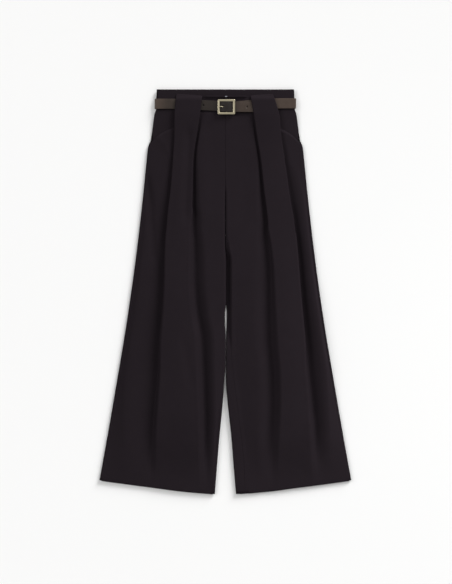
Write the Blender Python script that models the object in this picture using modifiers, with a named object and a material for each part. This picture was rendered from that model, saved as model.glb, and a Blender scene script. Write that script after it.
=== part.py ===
"""Palazzo trousers with a belt, laid flat with their front up.

The garment lies on its back panels on the plane z = 0. +X is the wearer's left, +Y points to the waist.
Each cloth piece is an open sheet that follows cross-sections through the flattened legs, and a Solidify
modifier gives it its wall. Sizes are in millimetres here and become metres where a mesh is made.

In the tables, "drop" is the distance below the back waist edge and "out" is the distance from the centre
line. Heights are those of the middle of the cloth above the plane that the garment lies on.
"""

from bisect import bisect_right
from collections import namedtuple
from math import asin, atan2, cos, hypot, pi, sin

import bmesh
import bpy
from mathutils import Matrix, Vector

MM = 0.001
LENGTH = 1092.0
CLOTH = 1.2
GAP = 0.3
RIGHT, LEFT = -1, 1


def table(names, *rows):
    """A table of sizes whose rows are in the order of the first column."""
    return namedtuple("Row", names), rows


# Outline of the legs and of the waist.
SIDE = table(
    "drop out",
    (0, 185.0),
    (25, 186.2),
    (54, 186.8),
    (59, 188.4),
    (64, 190.6),
    (103, 196.5),
    (136, 201.2),
    (144, 203.0),
    (149, 206.8),
    (158, 209.0),
    (190, 212.5),
    (298, 223.4),
    (460, 242.4),
    (622, 265.4),
    (784, 292.2),
    (946, 320.2),
    (1092, 346.6),
)
HEM = table("out drop", (0, 1093.6), (28, 1092), (110, 1085.4), (190, 1074.9), (265, 1065.2), (350, 1053.2))
INNER_RIGHT = table(
    "drop out",
    (357, 0.2),
    (425, 0.15),
    (465, -1.2),
    (560, -1.2),
    (595, 0.9),
    (630, 0.8),
    (676, -0.8),
    (735, -0.6),
    (784, 2.7),
    (838, 6.6),
    (892, 11.6),
    (946, 17.0),
    (1000, 21.3),
    (1092, 28.5),
)
INNER_LEFT = table(
    "drop out seam",
    (357, 0.2, 4.0),
    (420, 0.4, 5.0),
    (460, 1.6, 12.2),
    (560, 1.6, 12.2),
    (595, 4.1, 12.0),
    (630, 3.6, 12.2),
    (676, 1.9, 13.0),
    (735, 1.6, 18.0),
    (784, 1.4, 23.2),
    (838, 5.0, 30.0),
    (892, 11.0, 37.0),
    (946, 16.7, 44.0),
    (1000, 20.7, 49.4),
    (1092, 28.6, 53.5),
)
FRONT_WAIST = table(
    "out top bottom",
    (0, 17.2, 59.0),
    (62, 16.9, 58.0),
    (90, 12.3, 57.0),
    (120, 4.6, 55.5),
    (146, 0.7, 53.6),
    (190, 0, 52.0),
)
BACK_WAIST_BOTTOM = 48.0

# The box pleats: where the hollows beside each flap lie.
PLEAT_RIGHT = table(
    "drop outer inner",
    (12, 135.5, 58.0),
    (76, 141.0, 66.0),
    (122, 141.0, 73.5),
    (163, 143.5, 80.0),
    (190, 145.0, 82.5),
    (230, 148.0, 84.0),
    (271, 151.5, 84.5),
    (311, 156.5, 85.5),
    (352, 160.5, 86.0),
    (433, 164.9, 81.5),
    (514, 167.6, 80.0),
    (595, 172.5, 73.0),
    (676, 180.3, 60.0),
    (757, 183.5, 50.0),
    (838, 189.4, 48.0),
    (919, 195.0, 46.5),
    (1000, 197.0, 44.6),
    (1092, 199.0, 43.0),
)
PLEAT_LEFT = table(
    "drop outer inner",
    (12, 132.0, 62.5),
    (76, 149.5, 74.2),
    (122, 153.4, 80.7),
    (190, 163.2, 91.8),
    (230, 168.8, 96.5),
    (271, 174.5, 100.6),
    (311, 180.8, 105.8),
    (352, 187.8, 110.7),
    (433, 196.0, 117.4),
    (514, 202.5, 121.5),
    (595, 210.0, 121.5),
    (676, 218.8, 123.2),
    (757, 227.0, 130.2),
    (838, 236.5, 132.0),
    (919, 246.5, 130.0),
    (1000, 255.4, 129.0),
    (1092, 266.0, 124.0),
)
# How deep each fold is tucked under the flap (below zero it has opened into a slope), and how far
# from the fold the cloth beside it begins to fall.
TUCK_RIGHT = table(
    "drop outer inner outer_ramp inner_ramp",
    (60, 26, 26, 6, 5),
    (150, 24, 24, 9, 7),
    (230, 17, 18, 15, 8),
    (300, 9, 6, 24, 9),
    (345, 3, -4, 30, 11),
    (433, -1, -15, 36, 13),
    (514, -2, -17, 36, 15),
    (676, -4, -19, 34, 18),
    (838, -8, -15, 26, 18),
    (1092, -12, -16, 24, 16),
)
TUCK_LEFT = table(
    "drop outer inner outer_ramp inner_ramp",
    (60, 26, 26, 6, 5),
    (150, 24, 24, 9, 7),
    (230, 17, 18, 20, 12),
    (300, 9, 9, 26, 18),
    (352, 3, 2, 28, 22),
    (433, -2, -8, 28, 24),
    (514, -3, -11, 30, 23),
    (595, -4, -15, 30, 20),
    (676, -6, -18, 28, 19),
    (757, -12, -18, 22, 20),
    (919, -16, -18, 18, 22),
    (1092, -18, -18, 16, 22),
)
HEIGHTS = table(
    "drop side outer_panel outer_valley flap inner_valley inner_panel centre",
    (13, 7.0, 7.0, 7.0, 8.9, 7.0, 7.0, 7.0),
    (17, 7.0, 7.0, 7.0, 10.2, 7.0, 7.0, 7.0),
    (25, 7.0, 7.0, 7.0, 15.4, 7.0, 7.0, 7.0),
    (30, 7.0, 7.0, 7.0, 16.3, 7.0, 7.0, 7.0),
    (64, 7.0, 7.0, 8.2, 16.3, 7.0, 7.0, 7.0),
    (80, 7.0, 7.0, 7.6, 15.7, 6.4, 7.3, 7.3),
    (100, 6.8, 6.8, 6.8, 14.6, 5.6, 7.7, 7.7),
    (125, 6.4, 6.4, 5.9, 13.6, 4.8, 8.0, 8.0),
    (155, 6.1, 6.2, 4.9, 13.0, 4.1, 8.4, 8.2),
    (190, 5.9, 6.4, 4.1, 13.0, 3.4, 9.0, 8.2),
    (230, 5.8, 7.0, 3.3, 13.4, 2.9, 9.6, 8.0),
    (300, 5.8, 8.4, 2.7, 14.4, 2.5, 10.2, 7.8),
    (400, 6.0, 10.8, 2.5, 16.0, 2.5, 11.0, 7.8),
    (600, 6.2, 12.6, 2.5, 17.0, 2.5, 11.8, 7.6),
    (900, 6.2, 12.2, 2.5, 16.6, 2.5, 11.4, 6.8),
    (1000, 6.2, 10.0, 2.8, 14.0, 2.8, 9.8, 6.2),
    (1092, 6.2, 7.0, 3.4, 9.0, 3.4, 7.0, 6.2),
)
BACK_HEIGHT = table("drop height", (0, 4.9), (58, 4.75), (86, 2.6), (115, 0.6), (1092, 0.6))
FACING_HEIGHT = table("drop height", (50, 6.5), (60, 6.3), (80, 5.5), (110, 4.4), (150, 3.4), (200, 2.6))
POCKET_MOUTH = table(
    "out drop",
    (104, 66),
    (112, 72),
    (120, 84),
    (130, 96),
    (143, 103.5),
    (160, 111),
    (180, 123),
    (194, 136.5),
    (201, 143.5),
    (206, 146.5),
    (216, 148),
)
# The folds beside the flaps. The last two say how far a fold's foot lies outside its hollow, and how
# much of the panel beside it the ramp may take.
HOLLOW_TO_FLAP = 4.0
FOLD_RADIUS = 1.7
OPEN_ROUNDNESS = 0.8
FLAP_CROWN = 0.8
FOOT_RUN = 1.5
RAMP_LIMIT = 0.6
# The flap runs on over the belt above the slot, and ends on the waistband.
SLOT_DROP = 64.5
FLAP_TOP = table("out drop", (60, 17.6), (135, 11.6))
FLAP_ON_WAISTBAND = 8.8
# The fly, the crotch and the inseams; pairs are the drops between which a change takes place.
FLY_END_DROP = 225.0
CROTCH_DROP = 357.0
CROTCH_EASE = (250.0, 310.0)
INSEAM_EASE = (CROTCH_DROP, 417.0)
LEFT_FOLD_RADIUS = 2.0
LEFT_FOLD_TIGHTENS, LEFT_FOLD_OPENS = (400.0, 460.0), (640.0, 720.0)
LEFT_BACK_LIFT = 0.6
# Above the pocket mouth the side edge is the facing's, and below it the front's.
SIDE_CHANGES = (112.0, 140.0)
FRONT_SIDE_DROP = 140.0
SIDE_LEADS = (2.5, 2.5)
INNER_LEADS = {RIGHT: (7.0, 2.5), LEFT: (7.0, 9.0)}
SEAM_STEP = 0.8
SEAM_EASE = 0.15
HEM_HEIGHT = 6.2
HEM_TURN_UP = 42.0
HEM_FOLD_RADIUS = 1.0
HEM_CALM = (45.0, 95.0)

# Pocket facings and waistbands.
FACING_BOTTOM_DROP = 185.0
FACING_INNER_OUT = 120.0
FACING_ROLL_END = 108.0
FACING_GOES_INSIDE = (112.0, 138.0)
FACING_INSET, FACING_EDGE_STEP = 5.0, 1.6
WAISTBAND = 1.8
FRONT_WAISTBAND_INSET = 2.2
FRONT_WAISTBAND_HEIGHT = 7.0
# The back waistband's turned-up end, as distances in from the side and heights.
BACK_WAISTBAND_END = ((0.9, 7.3), (0.9, 6.7), (0.95, 6.0), (1.5, 5.2), (2.4, 4.9))

# The belt: x and height of its middle from the tip to the side, and from the side to the buckle, where
# its thinned end is turned back round the centre bar. The drop of its middle line is in BELT_DROP.
STRAP = 2.4
BELT_WIDTH = 27.5
BELT_BACK, BELT_FRONT = 2.5, 9.4
BELT_BACK_DROP = 38.3
BELT_TURN_OUT = 190.8
BELT_TURN_STEPS = 6
FREE_END = (
    (107, 12.1), (105.5, 12.1), (102, 12.1), (90, 12.1), (62, 12.1), (35, 12.1), (20, 12.1), (14, 13.1),
    (8.5, 14.6), (5.0, 15.2), (2.5, 15.3), (0, 15.2), (-3.5, 14.6), (-9, 13.1), (-14.5, 12.0), (-22, 10.8),
    (-30, 9.7), (-38, 9.4), (-70, 9.4), (-110, 9.4), (-150, 9.4),
)  # fmt: skip
FIXED_END = (
    (150, 9.4, 2.4), (110, 9.4, 2.4), (70, 9.4, 2.4), (40, 9.4, 2.4), (21, 9.4, 2.4), (17, 8.8, 1.1),
    (10, 8.75, 1.1), (2.5, 8.75, 1.1), (0.9, 9.4, 1.1), (0.25, 11.0, 1.1), (0.9, 12.7, 1.1),
    (2.5, 13.3, 1.1), (4.8, 12.6, 1.1), (8.5, 10.9, 1.1), (12, 10.2, 1.1), (16, 10.15, 1.1),
)  # fmt: skip
TIP_WIDTHS = (0.45, 0.8, 0.95)
BELT_DROP = table(
    "x free fixed",
    (-195, 38.3, 38.3),
    (-140, 38.3, 38.3),
    (-60, 42.0, 42.0),
    (-28, 43.6, 43.6),
    (-8, 46.2, 46.2),
    (25, 46.9, 45.4),
    (60, 47.0, 42.3),
    (140, 47.2, 37.2),
    (195, 47.2, 36.9),
)
# Each hole's x, how far it is drawn out along the belt, and the middle height and depth of its cutter.
BELT_HOLES = ((-59, 1.0, 10.0, 4.0), (-6.3, 1.5, 14.0, 12.0), (58.6, 1.0, 13.4, 5.2))
HOLE_RADIUS = 2.2

BUCKLE_X, BUCKLE_DROP, BUCKLE_HEIGHT = 2.75, 46.6, 15.0
BUCKLE_OUTER, BUCKLE_WINDOW, BUCKLE_THICK = (47.5, 40.5), (34.5, 29.5), 2.8
BUCKLE_CORNER, WINDOW_CORNER, BUCKLE_ROUNDING = 4.0, 2.0, 0.8
BAR_X, BAR_HEIGHT, BAR_RADIUS = 2.5, 11.0, 1.5
BAR_HALF_LENGTH, POST_SHARE = 17.5, 0.93
PRONG_DROP = 46.4
PRONG_RING, PRONG_WIDTH = 2.75, 4.0
PRONG_LINE = (
    (1.2, 13.1, 0.6), (-1.5, 12.2, 0.9), (-3.6, 12.4, 1.0), (-7.4, 15.2, 1.1), (-9.5, 16.6, 1.1),
    (-12, 17.4, 1.1), (-17, 17.75, 1.1), (-19.5, 17.75, 0.9),
)  # fmt: skip
PRONG_SLOT = (7.4, 5.0, 6.2)
PRONG_SLOT_MIDDLE = (2.6, 10.76)

# A back belt loop's drop and height, from its upper end to its lower one.
BACK_LOOP = (
    (8, 3.2), (16, 3.2), (20, 0.6), (22, 0.5), (40, 0.5), (55, 0.5), (58, 1.6), (61, 2.9), (66, 2.9),
)  # fmt: skip
BACK_LOOP_OUT, BACK_LOOP_WIDTH, LOOP_CLOTH = 95.0, 10.0, 1.0
HOOK_SIZE, HOOK_X, HOOK_DROP, HOOK_HEIGHT = (7.0, 2.8, 0.9), 1.9, 19.4, 8.65
HOOK_CORNER = 0.7

# How finely the sheets are divided. ROWS are drops that each column of a leg panel fits between its own
# top and hem, and the steps below are those from one edge of a panel to the other.
ROWS = (
    62, 74, 90, 112, 140, 170, 200, 235, 275, 315, 345, 368, 392, 418, 450, 490, 550,
    610, 670, 730, 790, 850, 900, 950, 1000, 1045, 1092,
)  # fmt: skip
TOP_FIT, HEM_FIT = 235, 950
FLAP_ROWS = 6
SIDE_STEPS, INNER_STEPS = 4, 6
PANEL_STEPS, RAMP_STEPS, VALLEY_STEPS, EDGE_ARC_STEPS, FLAP_STEPS = 2, 3, 3, 4, 4
BACK_FLAT_STEPS = 3
HEM_ARC_STEPS = 3
FACING_ROWS, FACING_STEPS = 8, 4
WAISTBAND_ROWS, FRONT_WAISTBAND_STEPS, BACK_WAISTBAND_STEPS = 3, 10, 8
EDGE_ARC, EDGE_RISE, EDGE_RISE_STEPS = 16, 5.0, 6

Edges = namedtuple("Edges", "outer inner")


def make_reader(source):
    """A function that reads every other column of a table at a value of the first, without overshoot."""
    row_type, rows = source
    keys = [row[0] for row in rows]
    spans = [b - a for a, b in zip(keys, keys[1:])]
    slopes = []
    for values in zip(*(row[1:] for row in rows)):
        steps = [(b - a) / span for a, b, span in zip(values, values[1:], spans)]
        inner = [2 * a * b / (a + b) if a * b > 0 else 0.0 for a, b in zip(steps, steps[1:])]
        slopes.append((steps[0], *inner, steps[-1]))

    def read(key):
        key = min(max(key, keys[0]), keys[-1])
        i = min(bisect_right(keys, key), len(keys) - 1) - 1
        span = spans[i]
        t = (key - keys[i]) / span
        found = [key]
        for column, slope in enumerate(slopes, start=1):
            a, b = rows[i][column], rows[i + 1][column]
            rise = (1 - t) * slope[i] - t * slope[i + 1]
            pull = (1 - t) * (b - a) - t * (b - a)
            found.append(a + (b - a) * t + t * (1 - t) * (span * rise - pull))
        return row_type(*found)

    return read


side_at, hem_at = make_reader(SIDE), make_reader(HEM)
inner_right_at, inner_left_at = make_reader(INNER_RIGHT), make_reader(INNER_LEFT)
front_waist_at, height_at = make_reader(FRONT_WAIST), make_reader(HEIGHTS)
tuck_at = {RIGHT: make_reader(TUCK_RIGHT), LEFT: make_reader(TUCK_LEFT)}
pleat_at = {RIGHT: make_reader(PLEAT_RIGHT), LEFT: make_reader(PLEAT_LEFT)}
back_height_at, facing_height_at = make_reader(BACK_HEIGHT), make_reader(FACING_HEIGHT)
mouth_at, flap_top_at = make_reader(POCKET_MOUTH), make_reader(FLAP_TOP)
belt_drop_at = make_reader(BELT_DROP)


def mix(a, b, share):
    return a + (b - a) * share


def ease(share):
    """0 to 1 with level ends."""
    share = min(max(share, 0.0), 1.0)
    return share * share * (3 - 2 * share)


def change(drop, ends):
    """0 to 1 between two drops."""
    return ease((drop - ends[0]) / (ends[1] - ends[0]))


def shares(steps):
    """The ends of equal steps from 0 to 1."""
    return [i / steps for i in range(1, steps + 1)]


def point_at(path, distance):
    """The point of a polyline at a distance from its first point."""
    for (ax, az), (bx, bz) in zip(path, path[1:]):
        size = hypot(bx - ax, bz - az)
        if distance <= size or (bx, bz) == path[-1]:
            return mix(ax, bx, distance / size), mix(az, bz, distance / size)
        distance -= size


# The two edges of a flattened leg. Each path runs from the back panel, round the edge, to the front.
def edge_path(edge, toward, low, high, radius, rise_from, leads):
    """The cloth's middle round one edge: in along the back, round the edge, and up to the front's height
    from the place rise_from on. toward is +1 where the cloth lies on the larger side of the edge."""
    centre = edge + toward * (CLOTH / 2 + radius)
    path = [(centre + toward * leads[0], low)]
    for i in range(EDGE_ARC + 1):
        turn = pi * i / EDGE_ARC
        path.append((centre - toward * radius * sin(turn), low + radius * (1 - cos(turn))))
    top = low + 2 * radius
    start = max(toward * (rise_from - centre), 0.0)
    run = min(EDGE_RISE, 3 * abs(high - top)) + 0.2
    for share in [0.0] + shares(EDGE_RISE_STEPS):
        path.append((centre + toward * (start + 0.1 + run * share), mix(top, high, ease(share))))
    return path + [(centre + toward * (start + run + leads[1]), high)]


def path_length(path):
    return sum(hypot(b[0] - a[0], b[1] - a[1]) for a, b in zip(path, path[1:]))


def to_seam(path, stops, cut):
    """Points along a path up to a seam at the distance cut. Its last short step is straight, which keeps
    the cut edge square to the cloth."""
    reach = cut - SEAM_STEP
    points = [point_at(path, min(stop, reach * i / len(stops))) for i, stop in enumerate(stops)]
    (ax, az), (bx, bz) = point_at(path, cut - 0.05), point_at(path, cut + 0.05)
    x, z = point_at(path, cut)
    size = hypot(bx - ax, bz - az)
    points.append((x - (bx - ax) / size * SEAM_STEP, z - (bz - az) / size * SEAM_STEP))
    return points + [(x, z)]


def split_edge(path, leads, bend, cut, arc_stops):
    """The back's and the front's share of an edge, each from its panel to the seam at the distance cut."""
    turned = path[::-1]
    whole = path_length(path)
    halves = []
    for way, lead, end in ((path, leads[0], cut - GAP / 2), (turned, leads[1], whole - cut - GAP / 2)):
        stops = [0.0] + [lead + bend * i / (arc_stops - 1) for i in range(arc_stops)]
        halves.append(to_seam(way, stops, end))
    return halves


def side_edge(drop):
    """Back and front, or pocket facing above the pocket mouth, at the side seam halfway up the edge."""
    low = back_height_at(drop).height
    high = mix(facing_height_at(drop).height, height_at(drop).side, change(drop, SIDE_CHANGES))
    radius = (high - low) / 2
    edge = side_at(drop).out
    path = edge_path(edge, -1, low, high, radius, edge, SIDE_LEADS)
    return split_edge(path, SIDE_LEADS, radius * pi, SIDE_LEADS[0] + radius * pi / 2, SIDE_STEPS - 2)


def inner_edge(leg, drop):
    """Back and front at the inner edge: the fly and the seat seam above the crotch, the inseam below it."""
    low, high = back_height_at(drop).height, height_at(drop).centre
    wrapped = change(drop, INSEAM_EASE)
    if leg == LEFT:
        low += LEFT_BACK_LIFT * wrapped * (1 - wrapped)
    radius = (high - low) / 2
    leads = INNER_LEADS[leg]
    arc_stops = INNER_STEPS - 2
    if drop <= CROTCH_DROP:
        fall = change(drop, (FLY_END_DROP, CROTCH_DROP))
        turn = mix(0.1, pi, fall)
        edge = GAP / 2 - (radius + CLOTH / 2) * (1 - sin(min(turn, pi / 2)))
        path = edge_path(edge, 1, low, high, radius, edge, leads)
        _, front = split_edge(path, leads, radius * pi, leads[0] + radius * (pi - turn), arc_stops)
        bottom = mix(GAP / 2, radius + CLOTH / 2 + 2 * GAP, change(drop, CROTCH_EASE))
        back = [(bottom + leads[0] * (1 - i / INNER_STEPS), low) for i in range(INNER_STEPS + 1)]
        return back, front
    if leg == RIGHT:
        edge = inner_right_at(drop).out
        path = edge_path(edge, 1, low, high, radius, edge, leads)
        return split_edge(path, leads, radius * pi, leads[0], arc_stops)
    inner = inner_left_at(drop)
    tighter = change(drop, LEFT_FOLD_TIGHTENS) * (1 - change(drop, LEFT_FOLD_OPENS))
    bend_radius = mix(radius, LEFT_FOLD_RADIUS, tighter)
    path = edge_path(inner.out, 1, low, high, bend_radius, inner.seam, leads)
    across = max(inner.seam - (inner.out + CLOTH / 2 + bend_radius), 0.0)
    cut = leads[0] + (bend_radius * pi + across) * wrapped
    return split_edge(path, leads, bend_radius * pi, cut, arc_stops)


def fold(edge, toward, valley, flap, tuck):
    """One folded edge of the flap, from the valley beside it to the flap's top. The cloth runs under
    the flap by the tuck, turns back, and turns again over the flap's edge. An open fold is rounder."""
    advance = 2 * FOLD_RADIUS - tuck
    rise = flap - valley
    radius = FOLD_RADIUS
    if tuck < 0:
        radius = max(FOLD_RADIUS, OPEN_ROUNDNESS * (advance**2 + rise**2) / (4 * rise))
    climb = rise - 2 * radius
    turn = atan2(climb, advance) + asin(min(1.0, 2 * radius / hypot(advance, climb)))
    valley_centre = (tuck - FOLD_RADIUS, valley + radius)
    flap_centre = (FOLD_RADIUS, flap - radius)
    points = []
    for share in [0.0] + shares(VALLEY_STEPS):
        angle = turn * share
        points.append((valley_centre[0] + radius * sin(angle), valley_centre[1] - radius * cos(angle)))
    for share in [0.0] + shares(EDGE_ARC_STEPS):
        angle = turn * (1 - share)
        points.append((flap_centre[0] - radius * sin(angle), flap_centre[1] + radius * cos(angle)))
    return [(edge + toward * s, z) for s, z in points]


def half_section(front_edge, edge, toward, panel, valley, flap, tuck, ramp):
    """From the seam at a leg's edge to the top of the flap's edge that faces it."""
    points = list(reversed(front_edge))
    start, height = points[-1]
    tuck = max(tuck, 2 * FOLD_RADIUS + FOOT_RUN - 0.7 * abs(edge - start))
    foot = edge + toward * (min(tuck - FOLD_RADIUS, -1.0) - FOOT_RUN)
    shoulder = foot - toward * min(ramp, RAMP_LIMIT * abs(foot - start))
    for share in shares(PANEL_STEPS):
        points.append((mix(start, shoulder, share), mix(height, panel, share)))
    for share in shares(RAMP_STEPS):
        points.append((mix(shoulder, foot, share), mix(panel, valley, ease(share))))
    return points + fold(edge, toward, valley, flap, tuck)


PANEL_COLUMNS = PANEL_STEPS + RAMP_STEPS + 1 + VALLEY_STEPS
OUTER_PANEL_END = SIDE_STEPS + PANEL_COLUMNS
FLAP_FIRST = OUTER_PANEL_END + 1 + EDGE_ARC_STEPS // 2
FLAP_LAST = FLAP_FIRST + EDGE_ARC_STEPS + FLAP_STEPS
INNER_PANEL_START = FLAP_LAST + EDGE_ARC_STEPS // 2 + 1
FRONT_COLUMNS = INNER_PANEL_START + PANEL_COLUMNS + INNER_STEPS
BACK_COLUMNS = SIDE_STEPS + BACK_FLAT_STEPS + INNER_STEPS


def calm(out, drop):
    """How far the stiff turned-up hem flattens the folds at this place."""
    return 1 - change(hem_at(out).drop - drop, HEM_CALM)


def pleat_edges(leg, drop):
    """Where the flap's own edges lie, inside the hollows beside it: further in where a fold has opened."""
    hollow, tuck = pleat_at[leg](drop), tuck_at[leg](drop)
    return Edges(
        hollow.outer - max(HOLLOW_TO_FLAP, FOLD_RADIUS - tuck.outer),
        hollow.inner + max(HOLLOW_TO_FLAP, FOLD_RADIUS - tuck.inner),
    )


def front_section(leg, drop):
    """Every column of a front panel at one drop, from the side seam to the inner seam."""
    heights, tucks, pleat = height_at(drop), tuck_at[leg](drop), pleat_edges(leg, drop)
    _, side = side_edge(max(drop, FRONT_SIDE_DROP))
    _, inner = inner_edge(leg, drop)
    halves = []
    for front_edge, edge, toward, panel, valley, tuck, ramp in (
        (side, pleat.outer, -1, heights.outer_panel, heights.outer_valley, tucks.outer, tucks.outer_ramp),
        (inner, pleat.inner, 1, heights.inner_panel, heights.inner_valley, tucks.inner, tucks.inner_ramp),
    ):
        still = calm(edge, drop)
        panel = mix(panel, HEM_HEIGHT, still)
        valley = mix(valley, HEM_HEIGHT, still)
        flap = mix(heights.flap, HEM_HEIGHT + 0.7, still)
        halves.append(half_section(front_edge, edge, toward, panel, valley, flap, tuck, ramp))
    outer, inner = halves
    crown = FLAP_CROWN * (1 - calm(pleat.inner, drop))
    flap = []
    for share in shares(FLAP_STEPS)[:-1]:
        out = mix(outer[-1][0], inner[-1][0], share)
        flap.append((out, mix(outer[-1][1], inner[-1][1], share) + crown * sin(pi * share)))
    return outer + flap + list(reversed(inner))


def fit_drop(row_drop, top, hem):
    """Fits a row between a column's own top and hem, and leaves the rows between alone."""
    if row_drop < TOP_FIT:
        return mix(top, TOP_FIT, (row_drop - ROWS[0]) / (TOP_FIT - ROWS[0]))
    if row_drop > HEM_FIT:
        return mix(HEM_FIT, hem, (row_drop - HEM_FIT) / (ROWS[-1] - HEM_FIT))
    return float(row_drop)


def place(leg, out, drop, height):
    """A point in metres."""
    return Vector((leg * out * MM, (LENGTH / 2 - drop) * MM, height * MM))


def front_top(leg, column):
    """Where a column of the front panel ends at the top: at the waist seam or at the pocket mouth."""
    if column <= OUTER_PANEL_END - 2:
        drop = 100.0
        for _ in range(12):
            drop = mouth_at(front_section(leg, drop)[column][0]).drop
        return drop
    if column >= INNER_PANEL_START + 2:
        out = front_section(leg, 60.0)[column][0]
        return front_waist_at(out).bottom + GAP
    return SLOT_DROP


def flap_point(leg, column, share):
    """The flap above the belt slot: over the belt and down onto the waistband's outer face."""
    drop = SLOT_DROP
    for _ in range(8):
        out = flap_out(leg, column, drop)
        drop = mix(SLOT_DROP, flap_top_at(out).drop, share)
    height = max(height_at(drop).flap, FLAP_ON_WAISTBAND)
    if share == 1.0:
        height = FLAP_ON_WAISTBAND
    droop = min(FOLD_RADIUS, height - FLAP_ON_WAISTBAND)
    lip = min(column - FLAP_FIRST, FLAP_LAST - column)
    arc = EDGE_ARC_STEPS // 2
    angle = pi / 2 * max(0.0, 1 - lip / arc)
    inside = min(max((column - FLAP_FIRST - arc) / FLAP_STEPS, 0.0), 1.0)
    crown = FLAP_CROWN * sin(pi * inside) * (1 - share)
    return out, drop, height - droop * (1 - cos(angle)) + crown


def flap_out(leg, column, drop):
    """Where a column of the flap lies above the belt slot."""
    pleat = pleat_edges(leg, drop)
    arc = EDGE_ARC_STEPS // 2
    first, last = column - FLAP_FIRST, FLAP_LAST - column
    if first < arc:
        return pleat.outer - FOLD_RADIUS * (1 - sin(pi / 2 * (1 - first / arc)))
    if last < arc:
        return pleat.inner + FOLD_RADIUS * (1 - sin(pi / 2 * (1 - last / arc)))
    share = (first - arc) / FLAP_STEPS
    return mix(pleat.outer - FOLD_RADIUS, pleat.inner + FOLD_RADIUS, share)


def turned_up(point_at, hem_drop, upward):
    """The rows of a turned-up hem: round its fold, then back up inside the leg."""
    base = hem_drop - CLOTH / 2 - HEM_FOLD_RADIUS
    rows = []
    out, height = point_at(base)
    for share in [0.0] + shares(HEM_ARC_STEPS):
        turn = pi * share
        lift = upward * HEM_FOLD_RADIUS * (1 - cos(turn))
        rows.append((out, base + HEM_FOLD_RADIUS * sin(turn), height + lift))
    out, height = point_at(base - HEM_TURN_UP)
    rows.append((out, base - HEM_TURN_UP, height + upward * 2 * HEM_FOLD_RADIUS))
    return rows


def column_points(leg, column, section, top, upward):
    """All points of one column of a leg panel, from its top to the inner end of its turned-up hem."""

    def point_at(drop):
        return section(leg, drop)[column]

    hem = hem_at(point_at(HEM_FIT + 100)[0]).drop
    fold_start = hem - CLOTH / 2 - HEM_FOLD_RADIUS
    points = []
    for row_drop in ROWS[:-1]:
        drop = fit_drop(row_drop, top, fold_start)
        out, height = point_at(drop)
        points.append((out, drop, height))
    return points + turned_up(point_at, hem, upward)


# Building the objects.
def new_collection(name):
    found = bpy.data.collections.new(name)
    bpy.context.scene.collection.children.link(found)
    return found


def make_material(name, colour, roughness, metallic):
    material = bpy.data.materials.new(name)
    material.use_nodes = True
    shader = material.node_tree.nodes["Principled BSDF"]
    shader.inputs["Base Color"].default_value = (*colour, 1.0)
    shader.inputs["Roughness"].default_value = roughness
    shader.inputs["Metallic"].default_value = metallic
    return material


def make_object(name, mesh, material, collection):
    data = bpy.data.meshes.new(name)
    mesh.to_mesh(data)
    mesh.free()
    data.materials.append(material)
    made = bpy.data.objects.new(name, data)
    collection.objects.link(made)
    return made


def add_wall(made, thickness):
    wall = made.modifiers.new("wall", "SOLIDIFY")
    wall.thickness = thickness * MM
    wall.offset = 0.0
    wall.use_even_offset = True
    made.data.shade_smooth()


def whole(row, column):
    """Keeps every cell of a sheet."""
    return True


def make_sheet(name, grid, keep, thickness, material, collection):
    """A sheet of cloth over grid[row][column], without the cells that keep refuses."""
    rows, columns = len(grid) - 1, len(grid[0]) - 1
    mesh = bmesh.new()
    bmesh.ops.create_grid(mesh, x_segments=columns, y_segments=rows, size=1.0)
    mesh.verts.ensure_lookup_table()
    for index, vert in enumerate(mesh.verts):
        row, column = divmod(index, columns + 1)
        vert.co = grid[row][column]
    unwanted = []
    for face in mesh.faces:
        row, column = divmod(min(vert.index for vert in face.verts), columns + 1)
        if not keep(row, column):
            unwanted.append(face)
    bmesh.ops.delete(mesh, geom=unwanted, context="FACES")
    made = make_object(name, mesh, material, collection)
    add_wall(made, thickness)
    return made


def make_front(name, leg, material, collection):
    """A front leg panel with its box pleat, its pocket corner cut away and its hem turned up."""
    columns = []
    for column in range(FRONT_COLUMNS + 1):
        below = column_points(leg, column, front_section, front_top(leg, column), -1)
        above = [below[0]] * FLAP_ROWS
        if FLAP_FIRST <= column <= FLAP_LAST:
            above = [flap_point(leg, column, 1 - row / FLAP_ROWS) for row in range(FLAP_ROWS)]
        columns.append([place(leg, *point) for point in above + below])
    hem_row = FLAP_ROWS + len(ROWS) - 1

    def keep(row, column):
        if row < FLAP_ROWS:
            return FLAP_FIRST <= column < FLAP_LAST
        return row < hem_row or SIDE_STEPS <= column < FRONT_COLUMNS - INNER_STEPS

    return make_sheet(name, list(zip(*columns)), keep, CLOTH, material, collection)


def back_section(leg, drop):
    """Every column of a back panel at one drop, from the side seam to the inner seam."""
    side, _ = side_edge(drop)
    inner, _ = inner_edge(leg, drop)
    low = back_height_at(drop).height
    flat = [(mix(side[0][0], inner[0][0], share), low) for share in shares(BACK_FLAT_STEPS)[:-1]]
    return list(reversed(side)) + flat + inner


def make_back(name, leg, material, collection):
    """A back leg panel, flat where it rests, with its hem turned up."""
    columns = []
    for column in range(BACK_COLUMNS + 1):
        points = column_points(leg, column, back_section, BACK_WAIST_BOTTOM + GAP, 1)
        columns.append([place(leg, *point) for point in points])
    hem_row = len(ROWS) - 1

    def keep(row, column):
        return row < hem_row or SIDE_STEPS <= column < BACK_COLUMNS - INNER_STEPS

    return make_sheet(name, list(zip(*columns)), keep, CLOTH, material, collection)


def make_facing(name, leg, material, collection):
    """The pocket facing, from the waist seam down under the front; its side seam ends at the mouth."""
    columns = []
    steps = SIDE_STEPS + FACING_STEPS
    side_out = side_at(FACING_ROLL_END).out
    for column in range(steps + 1):
        points = []
        for row in range(FACING_ROWS + 1):
            top = front_waist_at(mix(side_out, FACING_INNER_OUT, column / steps)).bottom + GAP
            drop = mix(top, FACING_BOTTOM_DROP, row / FACING_ROWS)
            points.append(place(leg, *facing_point(column, steps, drop)))
        columns.append(points)
    return make_sheet(name, list(zip(*columns)), whole, CLOTH, material, collection)


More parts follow.
